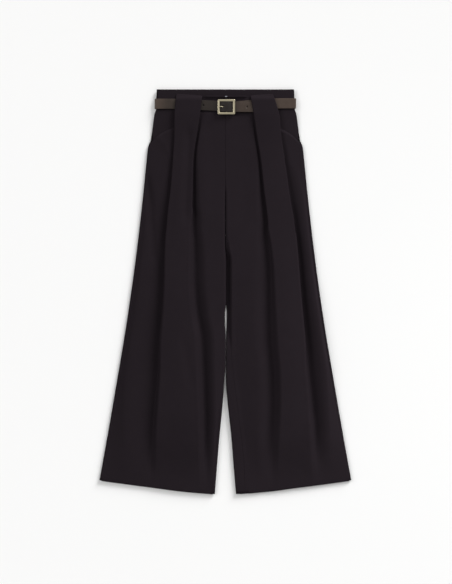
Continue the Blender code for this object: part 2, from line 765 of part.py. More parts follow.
def facing_point(column, steps, drop):
    """Above the pocket mouth the facing rolls down to the side seam; lower down it lies flat inside."""
    height = facing_height_at(drop).height
    inside = change(drop, FACING_GOES_INSIDE)
    rolled_drop = min(drop, FACING_ROLL_END)
    _, side = side_edge(rolled_drop)
    edge = side_at(drop).out
    shift = edge - side_at(rolled_drop).out
    flat_edge = edge - FACING_INSET
    if column <= SIDE_STEPS:
        out, rolled = side[SIDE_STEPS - column]
        rolled += SEAM_EASE if column < 2 else 0.0
        flat_out = flat_edge - FACING_EDGE_STEP * column
        return mix(out + shift, flat_out, inside), drop, mix(rolled, height, inside)
    start = mix(side[0][0] + shift, flat_edge - FACING_EDGE_STEP * SIDE_STEPS, inside)
    share = (column - SIDE_STEPS) / (steps - SIDE_STEPS)
    return mix(start, FACING_INNER_OUT, share), drop, height


def make_front_waistband(name, leg, material, collection):
    """One half of the front waistband, from the side to the fly."""
    columns = []
    for column in range(FRONT_WAISTBAND_STEPS + 1):
        points = []
        for row in range(WAISTBAND_ROWS + 1):
            side_out = side_at(0).out - FRONT_WAISTBAND_INSET
            out = mix(side_out, GAP / 2, column / FRONT_WAISTBAND_STEPS)
            waist = front_waist_at(out)
            drop = mix(waist.top, waist.bottom, row / WAISTBAND_ROWS)
            shift = side_at(drop).out - side_at(0).out if column < 2 else 0.0
            points.append(place(leg, out + shift, drop, FRONT_WAISTBAND_HEIGHT))
        columns.append(points)
    return make_sheet(name, list(zip(*columns)), whole, WAISTBAND, material, collection)


def make_back_waistband(name, material, collection):
    """One piece across the back, whose ends turn up beside the front waistbands."""
    grid = []
    for row in range(WAISTBAND_ROWS + 1):
        drop = BACK_WAIST_BOTTOM * row / WAISTBAND_ROWS
        edge = side_at(drop).out
        inset, low = BACK_WAISTBAND_END[-1]
        line = [place(LEFT, edge - inward, drop, height) for inward, height in BACK_WAISTBAND_END]
        for share in shares(BACK_WAISTBAND_STEPS)[:-1]:
            line.append(place(LEFT, mix(edge - inset, inset - edge, share), drop, low))
        mirrored = [place(RIGHT, edge - inward, drop, height) for inward, height in BACK_WAISTBAND_END]
        line += reversed(mirrored)
        grid.append(line)
    return make_sheet(name, grid, whole, WAISTBAND, material, collection)


# The belt, along its middle line as seen from below: (x, height) with its own drop.
def belt_line():
    """Stations of the strap from its tip to the end that is turned round the centre bar of the buckle."""
    stations = []
    for x, height in FREE_END:
        stations.append((x, height, belt_drop_at(x).free, STRAP))
    outer = BELT_TURN_OUT - STRAP / 2
    radius = (BELT_FRONT - BELT_BACK) / 2
    for side in (RIGHT, LEFT):
        centre = side * (outer - radius)
        for i in range(BELT_TURN_STEPS + 1):
            turn = pi * i / BELT_TURN_STEPS
            if side == LEFT:
                turn = pi - turn
            height = BELT_BACK + radius * (1 + cos(turn))
            x = centre + side * radius * sin(turn)
            stations.append((x, height, belt_drop_at(x).fixed, STRAP))
        if side == RIGHT:
            for share in shares(6)[:-1]:
                x = mix(centre, -centre, share)
                stations.append((x, BELT_BACK, BELT_BACK_DROP, STRAP))
    for x, height, thickness in FIXED_END:
        stations.append((x, height, belt_drop_at(x).fixed, thickness))
    return stations


def make_belt(name, material, cutters, collection):
    """The strap, with its pointed tip, its holes, and the slot that the prong comes up through."""
    stations = belt_line()
    grid = []
    for index, (x, height, drop, thickness) in enumerate(stations):
        narrow = TIP_WIDTHS[index] if index < len(TIP_WIDTHS) else 1.0
        row = []
        for across in (-1, 0, 1):
            row.append(place(LEFT, x, drop - across * narrow * BELT_WIDTH / 2, height))
        grid.append(row)
    made = make_sheet(name, grid, whole, STRAP, material, collection)
    group = made.vertex_groups.new(name="thickness")
    for index in range(len(grid) * 3):
        group.add([index], stations[index // 3][3] / STRAP, "REPLACE")
    made.modifiers["wall"].vertex_group = "thickness"
    for number, (x, stretch, height, depth) in enumerate(BELT_HOLES):
        mesh = rod(HOLE_RADIUS, depth, Vector(), "Z", 12)
        bmesh.ops.scale(mesh, vec=(stretch, 1, 1), verts=mesh.verts)
        bmesh.ops.translate(mesh, vec=place(LEFT, x, belt_drop_at(x).free, height), verts=mesh.verts)
        cut_with(made, make_object(f"hole_cutter_{number}", mesh, material, cutters))
    x, height = PRONG_SLOT_MIDDLE
    slot = box(PRONG_SLOT, place(LEFT, x, PRONG_DROP, height))
    cut_with(made, make_object("prong_slot_cutter", slot, material, cutters))
    return made


def cut_with(made, cutter, operation="DIFFERENCE"):
    """Cuts an object with another, or joins the two."""
    cutter.hide_render = True
    cutter.display_type = "WIRE"
    step = made.modifiers.new(cutter.name, "BOOLEAN")
    step.operation = operation
    step.solver = "EXACT"
    step.object = cutter


def box(size, centre, bevel=0.0, segments=2):
    """A block in millimetres with its upright edges rounded."""
    mesh = bmesh.new()
    bmesh.ops.create_cube(mesh, size=1.0)
    bmesh.ops.scale(mesh, vec=Vector(size) * MM, verts=mesh.verts)
    if bevel:
        ends = [(edge, edge.verts[0].co.z, edge.verts[1].co.z) for edge in mesh.edges]
        upright = [edge for edge, low, high in ends if abs(high - low) > MM / 2]
        bmesh.ops.bevel(mesh, geom=upright, offset=bevel * MM, segments=segments, profile=0.5, affect="EDGES")
    bmesh.ops.translate(mesh, vec=centre, verts=mesh.verts)
    return mesh


def rod(radius, length, centre, axis, segments=14):
    """A cylinder in millimetres along Y or Z."""
    mesh = bmesh.new()
    bmesh.ops.create_cone(
        mesh, cap_ends=True, segments=segments, radius1=radius * MM, radius2=radius * MM, depth=length * MM
    )
    if axis == "Y":
        bmesh.ops.rotate(mesh, matrix=Matrix.Rotation(pi / 2, 3, "X"), verts=mesh.verts)
    bmesh.ops.translate(mesh, vec=centre, verts=mesh.verts)
    return mesh


def make_buckle(name, material, cutters, collection):
    """The frame with its centre bar, which stands lower and is cranked up to the frame at both ends."""
    middle = place(LEFT, BUCKLE_X, BUCKLE_DROP, BUCKLE_HEIGHT)
    block = box((*BUCKLE_OUTER, BUCKLE_THICK), middle, BUCKLE_CORNER, 3)
    frame = make_object(name, block, material, collection)
    hole = box((*BUCKLE_WINDOW, 12), middle, WINDOW_CORNER, 2)
    cut_with(frame, make_object("buckle_window_cutter", hole, material, cutters))
    edge = frame.modifiers.new("rounding", "BEVEL")
    edge.width = BUCKLE_ROUNDING * MM
    edge.segments = 2
    edge.limit_method = "ANGLE"
    length = 2 * BAR_HALF_LENGTH + 2 * BAR_RADIUS
    bar = rod(BAR_RADIUS, length, place(LEFT, BAR_X, BUCKLE_DROP, BAR_HEIGHT), "Y")
    cut_with(frame, make_object("buckle_bar", bar, material, cutters), "UNION")
    for number, side in enumerate((-1, 1)):
        tall = BUCKLE_HEIGHT - BAR_HEIGHT + 0.5
        spot = place(LEFT, BAR_X, BUCKLE_DROP + side * BAR_HALF_LENGTH, BAR_HEIGHT + tall / 2 - 0.2)
        post = rod(BAR_RADIUS * POST_SHARE, tall, spot, "Z")
        cut_with(frame, make_object(f"buckle_post_{number}", post, material, cutters), "UNION")
    frame.data.shade_smooth()
    return frame


def make_prong(name, material, cutters, collection):
    """A ring round the centre bar and a pin that passes up through the strap to rest on the frame."""
    centre = place(LEFT, BAR_X, PRONG_DROP, BAR_HEIGHT)
    ring = make_object(name, rod(PRONG_RING, PRONG_WIDTH, centre, "Y", 18), material, collection)
    bore = rod(BAR_RADIUS + 0.25, PRONG_WIDTH + 4, centre, "Y", 18)
    cut_with(ring, make_object("prong_bore_cutter", bore, material, cutters))
    mesh = bmesh.new()
    made = bmesh.ops.create_circle(mesh, cap_ends=True, segments=10, radius=MM)
    loop = made["verts"]
    previous = Matrix.Identity(4)
    for index, (x, height, radius) in enumerate(PRONG_LINE):
        ahead = PRONG_LINE[min(index + 1, len(PRONG_LINE) - 1)]
        behind = PRONG_LINE[max(index - 1, 0)]
        tangent = Vector((ahead[0] - behind[0], 0, ahead[1] - behind[1])).normalized()
        turn = tangent.to_track_quat("Z", "Y").to_matrix().to_4x4()
        pose = Matrix.Translation(place(LEFT, x, PRONG_DROP, height)) @ turn @ Matrix.Scale(radius, 4)
        if index:
            face = next(f for f in mesh.faces if set(f.verts) == set(loop))
            grown = bmesh.ops.extrude_face_region(mesh, geom=[face])
            if index > 1:
                bmesh.ops.delete(mesh, geom=[face], context="FACES_ONLY")
            loop = [part for part in grown["geom"] if isinstance(part, bmesh.types.BMVert)]
        bmesh.ops.transform(mesh, matrix=pose @ previous.inverted(), verts=loop)
        previous = pose
    bmesh.ops.recalc_face_normals(mesh, faces=mesh.faces)
    cut_with(ring, make_object("prong_pin", mesh, material, cutters), "UNION")
    ring.data.shade_smooth()
    return ring


def make_loop(name, side, material, collection):
    """A plain belt loop under the belt on the back."""
    half = BACK_LOOP_WIDTH / 2
    grid = []
    for drop, height in BACK_LOOP:
        grid.append([place(side, BACK_LOOP_OUT + across, drop, height) for across in (half, 0, -half)])
    return make_sheet(name, grid, whole, LOOP_CLOTH, material, collection)


def make_hook(name, material, collection):
    """The small metal hook at the top of the fly, on the front waistbands' upper face."""
    block = box(HOOK_SIZE, place(LEFT, HOOK_X, HOOK_DROP, HOOK_HEIGHT), HOOK_CORNER)
    return make_object(name, block, material, collection)


def main():
    for old in list(bpy.data.objects):
        bpy.data.objects.remove(old, do_unlink=True)
    trousers = new_collection("palazzo_trousers")
    cutters = new_collection("cutters")
    cloth = make_material("cloth", (0.0194, 0.0152, 0.0185), 0.85, 0.0)
    leather = make_material("leather", (0.056, 0.045, 0.038), 0.45, 0.0)
    metal = make_material("metal", (0.60, 0.52, 0.36), 0.25, 1.0)
    for leg, word in ((RIGHT, "right"), (LEFT, "left")):
        make_front(f"front_{word}", leg, cloth, trousers)
        make_back(f"back_{word}", leg, cloth, trousers)
        make_front_waistband(f"waistband_front_{word}", leg, cloth, trousers)
        make_facing(f"pocket_facing_{word}", leg, cloth, trousers)
        make_loop(f"belt_loop_back_{word}", leg, cloth, trousers)
    make_back_waistband("waistband_back", cloth, trousers)
    make_belt("belt_strap", leather, cutters, trousers)
    make_buckle("buckle_frame", metal, cutters, trousers)
    make_prong("buckle_prong", metal, cutters, trousers)
    make_hook("waist_hook", metal, trousers)


main()
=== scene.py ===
"""Palazzo trousers with a belt, laid flat, dressed for Blender 4.5.

Lengths in the tables are in millimetres. "drop" is the distance below the back waist edge, "out" is the
distance from the centre line, and heights are those of the middle of the cloth above the floor. Right and
left are the wearer's.
"""

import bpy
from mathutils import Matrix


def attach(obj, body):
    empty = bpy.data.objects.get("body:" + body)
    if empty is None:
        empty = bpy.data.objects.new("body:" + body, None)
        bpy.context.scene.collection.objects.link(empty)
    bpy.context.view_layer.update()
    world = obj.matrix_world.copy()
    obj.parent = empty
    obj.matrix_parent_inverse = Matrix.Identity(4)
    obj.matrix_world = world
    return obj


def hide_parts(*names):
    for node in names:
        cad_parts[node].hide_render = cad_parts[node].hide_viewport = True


bl_info = {
    "name": "Palazzo Trousers",
    "version": (1, 0, 0),
    "blender": (4, 5, 0),
    "location": "View3D > Sidebar > Trousers",
    "description": "Lays out pleated palazzo trousers with a belt on a studio floor",
    "category": "Object",
}

from bisect import bisect_right
from collections import namedtuple
from math import asin, atan2, ceil, cos, exp, floor, hypot, pi, sin

import bmesh
import bpy
from mathutils import Matrix, Vector

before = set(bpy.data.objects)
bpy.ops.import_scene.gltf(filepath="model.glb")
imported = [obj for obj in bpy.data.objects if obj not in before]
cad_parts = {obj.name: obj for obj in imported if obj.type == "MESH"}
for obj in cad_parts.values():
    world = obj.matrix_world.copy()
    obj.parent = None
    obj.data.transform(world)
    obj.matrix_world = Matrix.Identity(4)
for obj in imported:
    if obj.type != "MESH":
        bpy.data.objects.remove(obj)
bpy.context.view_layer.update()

MM = 0.001
MERGE_DISTANCE = 1e-6
LENGTH = 1092.0
CLOTH = 1.2
GAP = 0.3
RIGHT, LEFT = -1, 1
SIDES = ((RIGHT, "right"), (LEFT, "left"))


def mix(a, b, share):
    return a + (b - a) * share


def ease(share):
    """0 to 1 with level ends."""
    share = min(max(share, 0.0), 1.0)
    return share * share * (3 - 2 * share)


def ease_between(value, start, end):
    return ease((value - start) / (end - start))


def shares(steps):
    return [i / steps for i in range(1, steps + 1)]


def reader(names, *rows):
    """A function that reads every other column of a table at a value of the first, without overshoot."""
    row_type = namedtuple("Row", names)
    keys = [row[0] for row in rows]
    spans = [b - a for a, b in zip(keys, keys[1:])]
    slopes = []
    for values in zip(*(row[1:] for row in rows)):
        steps = [(b - a) / span for a, b, span in zip(values, values[1:], spans)]
        inner = [2 * a * b / (a + b) if a * b > 0 else 0.0 for a, b in zip(steps, steps[1:])]
        slopes.append((steps[0], *inner, steps[-1]))

    def read(key):
        key = min(max(key, keys[0]), keys[-1])
        i = min(bisect_right(keys, key), len(keys) - 1) - 1
        span = spans[i]
        t = (key - keys[i]) / span
        found = [key]
        for column, slope in enumerate(slopes, start=1):
            a, b = rows[i][column], rows[i + 1][column]
            rise = (1 - t) * slope[i] - t * slope[i + 1]
            pull = (1 - t) * (b - a) - t * (b - a)
            found.append(a + (b - a) * t + t * (1 - t) * (span * rise - pull))
        return row_type(*found)

    return read


# Outline of the legs and of the waist.
side_at = reader(
    "drop out",
    (0, 185.0),
    (25, 186.2),
    (54, 186.8),
    (59, 188.4),
    (64, 190.6),
    (103, 196.5),
    (136, 201.2),
    (144, 203.0),
    (149, 206.8),
    (158, 209.0),
    (190, 212.5),
    (298, 223.4),
    (460, 242.4),
    (622, 265.4),
    (784, 292.2),
    (946, 320.2),
    (1092, 346.6),
)
hem_at = reader(
    "out drop", (0, 1093.6), (28, 1092), (110, 1085.4), (190, 1074.9), (265, 1065.2), (350, 1053.2)
)
inner_right_at = reader(
    "drop out",
    (357, -0.1),
    (425, -0.1),
    (465, -2.0),
    (578, -2.0),
    (600, 0.9),
    (630, 0.8),
    (676, -0.8),
    (735, -0.6),
    (784, 2.7),
    (838, 6.6),
    (892, 11.6),
    (946, 17.0),
    (1000, 21.3),
    (1092, 28.5),
)
inner_left_at = reader(
    "drop out seam",
    (357, 0.1, 4.0),
    (420, 0.1, 5.0),
    (460, 1.6, 12.2),
    (578, 1.6, 12.2),
    (600, 4.1, 12.0),
    (630, 3.6, 12.2),
    (676, 1.9, 13.0),
    (735, 1.6, 18.0),
    (784, 1.4, 23.2),
    (838, 5.0, 30.0),
    (892, 11.0, 37.0),
    (946, 16.7, 44.0),
    (1000, 20.7, 49.4),
    (1092, 28.6, 53.5),
)
front_waist_at = reader(
    "out top bottom",
    (0, 17.2, 59.0),
    (62, 16.9, 58.0),
    (90, 12.3, 57.0),
    (120, 4.6, 55.5),
    (146, 0.7, 53.6),
    (190, 0, 52.0),
)
BACK_WAIST_BOTTOM = 48.0

# The box pleats: where the hollows beside each flap lie.
right_pleat_at = reader(
    "drop outer inner",
    (12, 135.5, 58.0),
    (76, 141.0, 66.0),
    (122, 141.0, 73.5),
    (163, 143.5, 80.0),
    (190, 145.0, 82.5),
    (230, 148.0, 84.0),
    (271, 151.5, 84.5),
    (311, 156.5, 85.5),
    (352, 160.5, 86.0),
    (433, 164.9, 81.5),
    (514, 167.6, 80.0),
    (595, 172.5, 73.0),
    (676, 180.3, 60.0),
    (757, 184.5, 57.0),
    (838, 191.8, 54.0),
    (919, 198.6, 52.5),
    (1000, 202.5, 52.6),
    (1092, 205.0, 50.0),
)
left_pleat_at = reader(
    "drop outer inner",
    (12, 132.0, 62.5),
    (76, 149.5, 74.2),
    (122, 153.4, 80.7),
    (190, 163.2, 91.8),
    (230, 168.8, 96.5),
    (271, 174.5, 100.6),
    (311, 180.8, 105.8),
    (352, 187.8, 110.7),
    (433, 196.0, 117.4),
    (514, 202.5, 121.5),
    (595, 210.0, 121.5),
    (676, 218.8, 123.2),
    (757, 227.0, 130.2),
    (838, 236.5, 132.0),
    (919, 243.5, 128.5),
    (1000, 248.4, 124.5),
    (1092, 256.0, 120.0),
)
pleat_at = {RIGHT: right_pleat_at, LEFT: left_pleat_at}
# How deep each fold is tucked under the flap (below zero it has opened into a slope), and how far
# from the fold the cloth beside it begins to fall.
right_tuck_at = reader(
    "drop outer inner outer_ramp inner_ramp",
    (60, 26, 26, 8, 6),
    (150, 24, 24, 14, 9),
    (230, 17, 18, 24, 16),
    (300, 9, 6, 44, 22),
    (345, 2, -5, 64, 26),
    (433, -2, -14, 92, 30),
    (514, -4, -18, 100, 32),
    (676, -7, -21, 96, 30),
    (838, -12, -20, 80, 28),
    (1092, -16, -18, 60, 22),
)
left_tuck_at = reader(
    "drop outer inner outer_ramp inner_ramp",
    (60, 26, 26, 8, 6),
    (150, 24, 24, 14, 9),
    (230, 17, 18, 28, 16),
    (300, 9, 9, 36, 26),
    (352, 3, 2, 44, 32),
    (433, -2, -8, 48, 40),
    (514, -3, -11, 52, 44),
    (595, -4, -15, 54, 44),
    (676, -6, -18, 52, 42),
    (757, -12, -18, 44, 40),
    (919, -16, -18, 36, 40),
    (1092, -18, -18, 30, 34),
)
tuck_at = {RIGHT: right_tuck_at, LEFT: left_tuck_at}
# How high each stretch of a front panel's section lies, from the side seam to the centre.
height_at = reader(
    "drop side outer_panel outer_valley flap inner_valley inner_panel centre",
    (13, 7.0, 7.0, 7.0, 8.9, 7.0, 7.0, 7.0),
    (17, 7.0, 7.0, 7.0, 10.2, 7.0, 7.0, 7.0),
    (25, 7.0, 7.0, 7.0, 15.4, 7.0, 7.0, 7.0),
    (30, 7.0, 7.0, 7.0, 16.3, 7.0, 7.0, 7.0),
    (64, 7.0, 7.0, 8.2, 16.3, 7.0, 7.0, 7.0),
    (80, 7.0, 7.0, 7.6, 15.7, 6.4, 7.3, 7.3),
    (100, 6.8, 6.8, 6.8, 14.6, 5.6, 7.7, 7.7),
    (125, 6.4, 6.4, 5.9, 13.6, 4.8, 8.0, 8.0),
    (155, 6.1, 6.2, 4.9, 13.0, 4.1, 8.4, 8.2),
    (190, 5.9, 6.4, 4.1, 13.0, 3.4, 9.0, 8.2),
    (230, 5.8, 7.2, 3.1, 13.8, 2.7, 10.0, 9.4),
    (300, 5.8, 9.4, 2.4, 15.6, 2.2, 11.6, 11.8),
    (400, 6.0, 12.6, 2.0, 18.4, 2.0, 13.4, 13.4),
    (560, 6.2, 16.4, 1.9, 22.0, 1.9, 15.0, 13.2),
    (660, 6.2, 17.2, 1.9, 23.4, 1.9, 15.2, 9.8),
    (860, 6.2, 17.0, 1.9, 23.4, 1.9, 15.2, 8.6),
    (960, 6.2, 14.0, 2.3, 18.6, 2.3, 13.2, 7.8),
    (1092, 6.2, 8.6, 3.8, 11.0, 3.8, 8.6, 6.6),
)
back_height_at = reader("drop height", (0, 4.9), (58, 4.75), (86, 2.6), (115, 0.6), (1092, 0.6))
facing_height_at = reader(
    "drop height", (50, 6.5), (60, 6.3), (80, 5.5), (110, 4.4), (150, 3.4), (200, 2.6)
)
mouth_at = reader(
    "out drop",
    (104, 66),
    (112, 72),
    (120, 84),
    (130, 96),
    (143, 103.5),
    (160, 111),
    (180, 123),
    (194, 136.5),
    (201, 143.5),
    (206, 146.5),
    (216, 148),
)

# The crotch, the fly and the two edges of a flattened leg. An edge's path goes from the back panel round
# the edge to the front, and its leads are its straight ends.
CROTCH_DROP, FLY_END_DROP = 357.0, 225.0
CENTRE_GAP = 0.02
FLY_EDGE_TURN = 0.1
SEAT_OPENS = (312.0, 328.0)
SIDE_LEADS = (2.5, 2.5)
INNER_LEADS = {RIGHT: (7.0, 2.5), LEFT: (7.0, 9.0)}
EDGE_RISE, EDGE_RISE_SLOPE, EDGE_CLEAR = 5.0, 3, 0.1
SEAM_STEP, SEAM_LOOK, SEAM_EASE = 0.8, 0.05, 0.15
# Drops between which the side edge passes from the pocket facing's height to the front panel's.
FACING_TO_FRONT = (112.0, 140.0)
# Above this drop the front panel has no side edge of its own, and its section keeps the one from there.
FRONT_SIDE_DROP = 140.0
# The left back wraps over the inner edge below the crotch, and its bend is tight for a part of that.
WRAP_RUN, WRAP_LIFT = 60.0, 0.6
BEND_TIGHTENS, BEND_LOOSENS = (400.0, 460.0), (640.0, 720.0)
LEFT_FOLD_RADIUS = 1.0

# The pleats' folds and flaps. A fold's foot stays clear of it, and an open fold takes up at most a share of
# the panel beside it.
HOLLOW_TO_FLAP = 4.0
OUTER_PANEL_RISE = {RIGHT: 0.5, LEFT: 1.0}
FOLD_RADIUS = 1.7
OPEN_ROUNDNESS = 0.8
FOOT_CLEAR, FOOT_LEAST, OPEN_SHARE = 1.5, 1.0, 0.7
RAMP_LEAN, RAMP_LIMIT = 1.4, 0.85
FLAP_CROWN = 0.8
FLAP_ON_WAISTBAND, FLAP_ON_HEM = 8.8, 0.7
flap_top_at = reader("out drop", (60, 17.6), (135, 11.6))
# Where the panel ends below the belt, and where each flap starts to run on over it.
SLOT_DROP = 64.5

# The hems: the turned-up strip, and how far above the hem it calms the folds.
HEM_HEIGHT = 6.2
HEM_TURN_UP = 42.0
HEM_FOLD_RADIUS = 1.0
HEM_LAYER_APART = 1.5
HEM_CALM = (2.0, 145.0)
# Where the search for a column's hem, pocket mouth or waist seam begins.
HEM_NEAR_DROP, MOUTH_NEAR_DROP, WAIST_NEAR_DROP = 1040.0, 100.0, 60.0

# Pocket facings and waistbands. The lip's rows are shares of the front waistband's width, and the back
# waistband's edge is given as insets from the side and heights.
FACING_BOTTOM_DROP = 185.0
FACING_INNER_OUT = 120.0
FACING_MIDDLE_DROP = 130.0
FACING_ROLL_END, FACING_TURNS_IN = 108.0, (112.0, 138.0)
FACING_INSET, FACING_EDGE_WIDTH = 5.0, 6.4
WAISTBAND = 1.8
FRONT_WAISTBAND_HEIGHT, FRONT_WAISTBAND_INSET = 7.0, 2.2
WAIST_LIP, WAIST_LIP_OUT, WAIST_LIP_DEPTH = 4.0, (48.0, 60.0), (3.4, 3.4)
WAIST_LIP_ROWS = [0.0, 0.02, 0.045, 0.07, 0.095, 0.12, 0.15, 0.18, 0.21]
BACK_WAISTBAND_EDGE = ((0.9, 7.3), (0.9, 6.7), (0.95, 6.0), (1.5, 5.2), (2.4, 4.9))

# The belt: x and height of its middle from the tip to the side, and from the side to the buckle, where
# its thinned end is turned back round the centre bar. The drops of its middle line are in belt_drop_at.
STRAP, STRAP_END_SHARE = 2.4, 0.55
BELT_WIDTH = 27.5
BELT_BACK, BELT_FRONT = 2.5, 9.4
BELT_BACK_DROP = 38.3
BELT_TURN_OUT = 190.8
FREE_END = (
    (107, 12.1), (105.5, 12.1), (102, 12.1), (90, 12.1), (62, 12.1), (35, 12.1), (20, 12.1), (14, 13.1),
    (8.5, 14.6), (5.0, 15.2), (2.5, 15.3), (0, 15.2), (-3.5, 14.6), (-9, 13.1), (-14.5, 12.0), (-22, 10.8),
    (-30, 9.7), (-38, 9.4), (-70, 9.4), (-110, 9.4), (-150, 9.4),
)  # fmt: skip
FIXED_END = (
    (150, 9.4, 2.4), (110, 9.4, 2.4), (70, 9.4, 2.4), (40, 9.4, 2.4), (21, 9.4, 2.4), (17, 8.8, 1.1),
    (10, 8.75, 1.1), (2.5, 8.75, 1.1), (0.9, 9.4, 1.1), (0.25, 11.0, 1.1), (0.9, 12.7, 1.1),
    (2.5, 13.3, 1.1), (4.8, 12.6, 1.1), (8.5, 10.9, 1.1), (12, 10.2, 1.1), (16, 10.15, 1.1),
)  # fmt: skip
belt_drop_at = reader(
    "x free fixed",
    (-195, 39.3, 39.3),
    (-140, 39.3, 39.3),
    (-60, 43.0, 43.0),
    (-28, 44.6, 44.6),
    (-8, 47.2, 47.2),
    (25, 47.9, 46.4),
    (60, 48.0, 43.3),
    (140, 48.2, 38.2),
    (195, 48.2, 37.9),
)
# Across the strap: shares of its half width and of its half thickness, with a groove near each edge.
STRAP_PROFILE = (
    (-1, 0.0), (-0.985, 0.55), (-0.94, 0.92), (-0.9, 1.0), (-0.86, 0.94), (-0.8, 1.0), (-0.4, 1.0),
    (0, 1.0), (0.4, 1.0), (0.8, 1.0), (0.86, 0.94), (0.9, 1.0), (0.94, 0.92), (0.985, 0.55), (1, 0.0),
)  # fmt: skip
# Shares of the width at the first stations from the tip.
TIP_WIDTHS = (0.4, 0.62, 0.78, 0.88, 0.95, 0.985)
# Each hole's x, how much it is stretched along the belt, and its middle height and depth.
BELT_HOLES = ((-59, 1.0, 10.0, 4.0), (-6.3, 1.5, 14.0, 12.0), (58.6, 1.0, 13.4, 5.2))
HOLE_RADIUS = 2.2

# The buckle, its centre bar on two posts, its prong of (x, height, radius), and the waist hook.
BUCKLE_X, BUCKLE_DROP, BUCKLE_HEIGHT = 2.75, 48.0, 15.0
BUCKLE_OUTER, BUCKLE_WINDOW, BUCKLE_THICK = (46.6, 40.4), (35.8, 29.4), 2.8
OUTER_CORNER, WINDOW_CORNER, BUCKLE_ROUNDING = 2.4, 1.0, 0.9
BAR_X, BAR_HEIGHT, BAR_RADIUS = 2.5, 11.0, 1.5
BAR_PAST_WINDOW, BAR_PAST_POSTS = 5.5, 2.0
POST_RADIUS, POST_INTO_FRAME, POST_LOWERED = 1.4, 0.5, 0.2
PRONG_DROP = 47.6
PRONG_RING, PRONG_WIDTH, RING_PLAY, RING_ROUNDING = 2.75, 4.0, 0.25, 0.3
PRONG_LINE = (
    (1.2, 13.1, 0.6), (-1.5, 12.2, 0.9), (-3.6, 12.4, 1.0), (-7.4, 15.2, 1.1), (-9.5, 16.6, 1.1),
    (-12, 17.4, 1.1), (-17, 17.75, 1.1), (-19.5, 17.75, 0.9),
)  # fmt: skip
PRONG_SLOT = (7.4, 5.0, 6.2)
PRONG_SLOT_MIDDLE = (2.6, 10.76)
HOOK_SIZE, HOOK_ROUNDING = (5.6, 2.4, 0.9), 0.35
HOOK_X, HOOK_DROP, HOOK_HEIGHT = 1.9, 19.8, 12.3

# The loops on the back, as (drop, height).
BACK_LOOP = (
    (8, 3.2), (16, 3.2), (20, 0.6), (22, 0.5), (40, 0.5), (55, 0.5), (58, 1.6), (61, 2.9), (66, 2.9),
)  # fmt: skip
back_loop_at = reader("drop height", *BACK_LOOP)
BACK_LOOP_OUT, BACK_LOOP_WIDTH, LOOP_CLOTH = 95.0, 10.0, 1.0

# How finely each stretch is divided: steps, rows, columns and segments are counts, and sizes are in
# millimetres.
SIDE_STEPS, INNER_STEPS = 9, 12
PANEL_STEPS, RAMP_STEPS, VALLEY_STEPS, EDGE_ARC_STEPS, FLAP_STEPS = 10, 10, 7, 12, 16
PATH_ARC_STEPS, PATH_RISE_STEPS = 16, 6
BACK_FLAT_STEPS = 40
BACK_COLUMNS = SIDE_STEPS + BACK_FLAT_STEPS + INNER_STEPS
PANEL_ROWS, FLAP_ROWS, HEM_ARC_STEPS = 110, 22, 6
SECTION_SIZE = 2.0
FACING_ROWS, FACING_STEPS = 40, 20
FRONT_WAISTBAND_STEPS, SIDE_FOLLOW_STEPS, BELOW_LIP_STEPS = 60, 8, 12
BACK_WAISTBAND_ROWS, BACK_WAISTBAND_STEPS = 12, 90
LOOP_STEPS, LOOP_ROW_SIZE = 6, 1.5
BELT_TURN_STEPS, BELT_BACK_STEPS, BELT_STATION_SIZE = 14, 6, 2.5
ROD_SEGMENTS, RING_SEGMENTS, PIN_SEGMENTS, PRONG_STATION_SIZE = 24, 32, 16, 0.8
OUTLINE_CORNER_STEPS, SECTION_CORNER_STEPS = 6, 3

Edges = namedtuple("Edges", "outer inner")


def point_at(path, distance):
    """The point of a polyline at a distance from its first point."""
    for (ax, az), (bx, bz) in zip(path, path[1:]):
        size = hypot(bx - ax, bz - az)
        if distance <= size or (bx, bz) == path[-1]:
            return mix(ax, bx, distance / size), mix(az, bz, distance / size)
        distance -= size


def edge_path(edge, toward, low, high, radius, rise_from, leads):
    """The cloth's middle from the back panel round one edge, and up to the front's height from the place
    rise_from on. toward is +1 where the cloth lies on the larger side of the edge."""
    centre = edge + toward * (CLOTH / 2 + radius)
    path = [(centre + toward * leads[0], low)]
    for i in range(PATH_ARC_STEPS + 1):
        turn = pi * i / PATH_ARC_STEPS
        path.append((centre - toward * radius * sin(turn), low + radius * (1 - cos(turn))))
    top = low + 2 * radius
    start = max(toward * (rise_from - centre), 0.0)
    run = min(EDGE_RISE, EDGE_RISE_SLOPE * abs(high - top)) + 2 * EDGE_CLEAR
    for share in [0.0] + shares(PATH_RISE_STEPS):
        along = start + EDGE_CLEAR + run * share
        path.append((centre + toward * along, mix(top, high, ease(share))))
    return path + [(centre + toward * (start + run + leads[1]), high)]


def path_length(path):
    return sum(hypot(b[0] - a[0], b[1] - a[1]) for a, b in zip(path, path[1:]))


def to_seam(path, stops, cut):
    """Points along a path up to a seam at the distance cut. Its last short step is straight, which keeps
    the cut edge square to the cloth."""
    reach = cut - SEAM_STEP
    points = [point_at(path, min(stop, reach * i / len(stops))) for i, stop in enumerate(stops)]
    (ax, az), (bx, bz) = point_at(path, cut - SEAM_LOOK), point_at(path, cut + SEAM_LOOK)
    x, z = point_at(path, cut)
    size = hypot(bx - ax, bz - az)
    points.append((x - (bx - ax) / size * SEAM_STEP, z - (bz - az) / size * SEAM_STEP))
    return points + [(x, z)]


def split_edge(path, leads, bend, cut, arc_stops):
    """The back's and the front's share of an edge, each from its panel to the seam at the distance cut."""
    turned = path[::-1]
    whole = path_length(path)
    halves = []
    for way, lead, end in ((path, leads[0], cut - GAP / 2), (turned, leads[1], whole - cut - GAP / 2)):
        stops = [0.0] + [lead + bend * i / (arc_stops - 1) for i in range(arc_stops)]
        halves.append(to_seam(way, stops, end))
    return halves


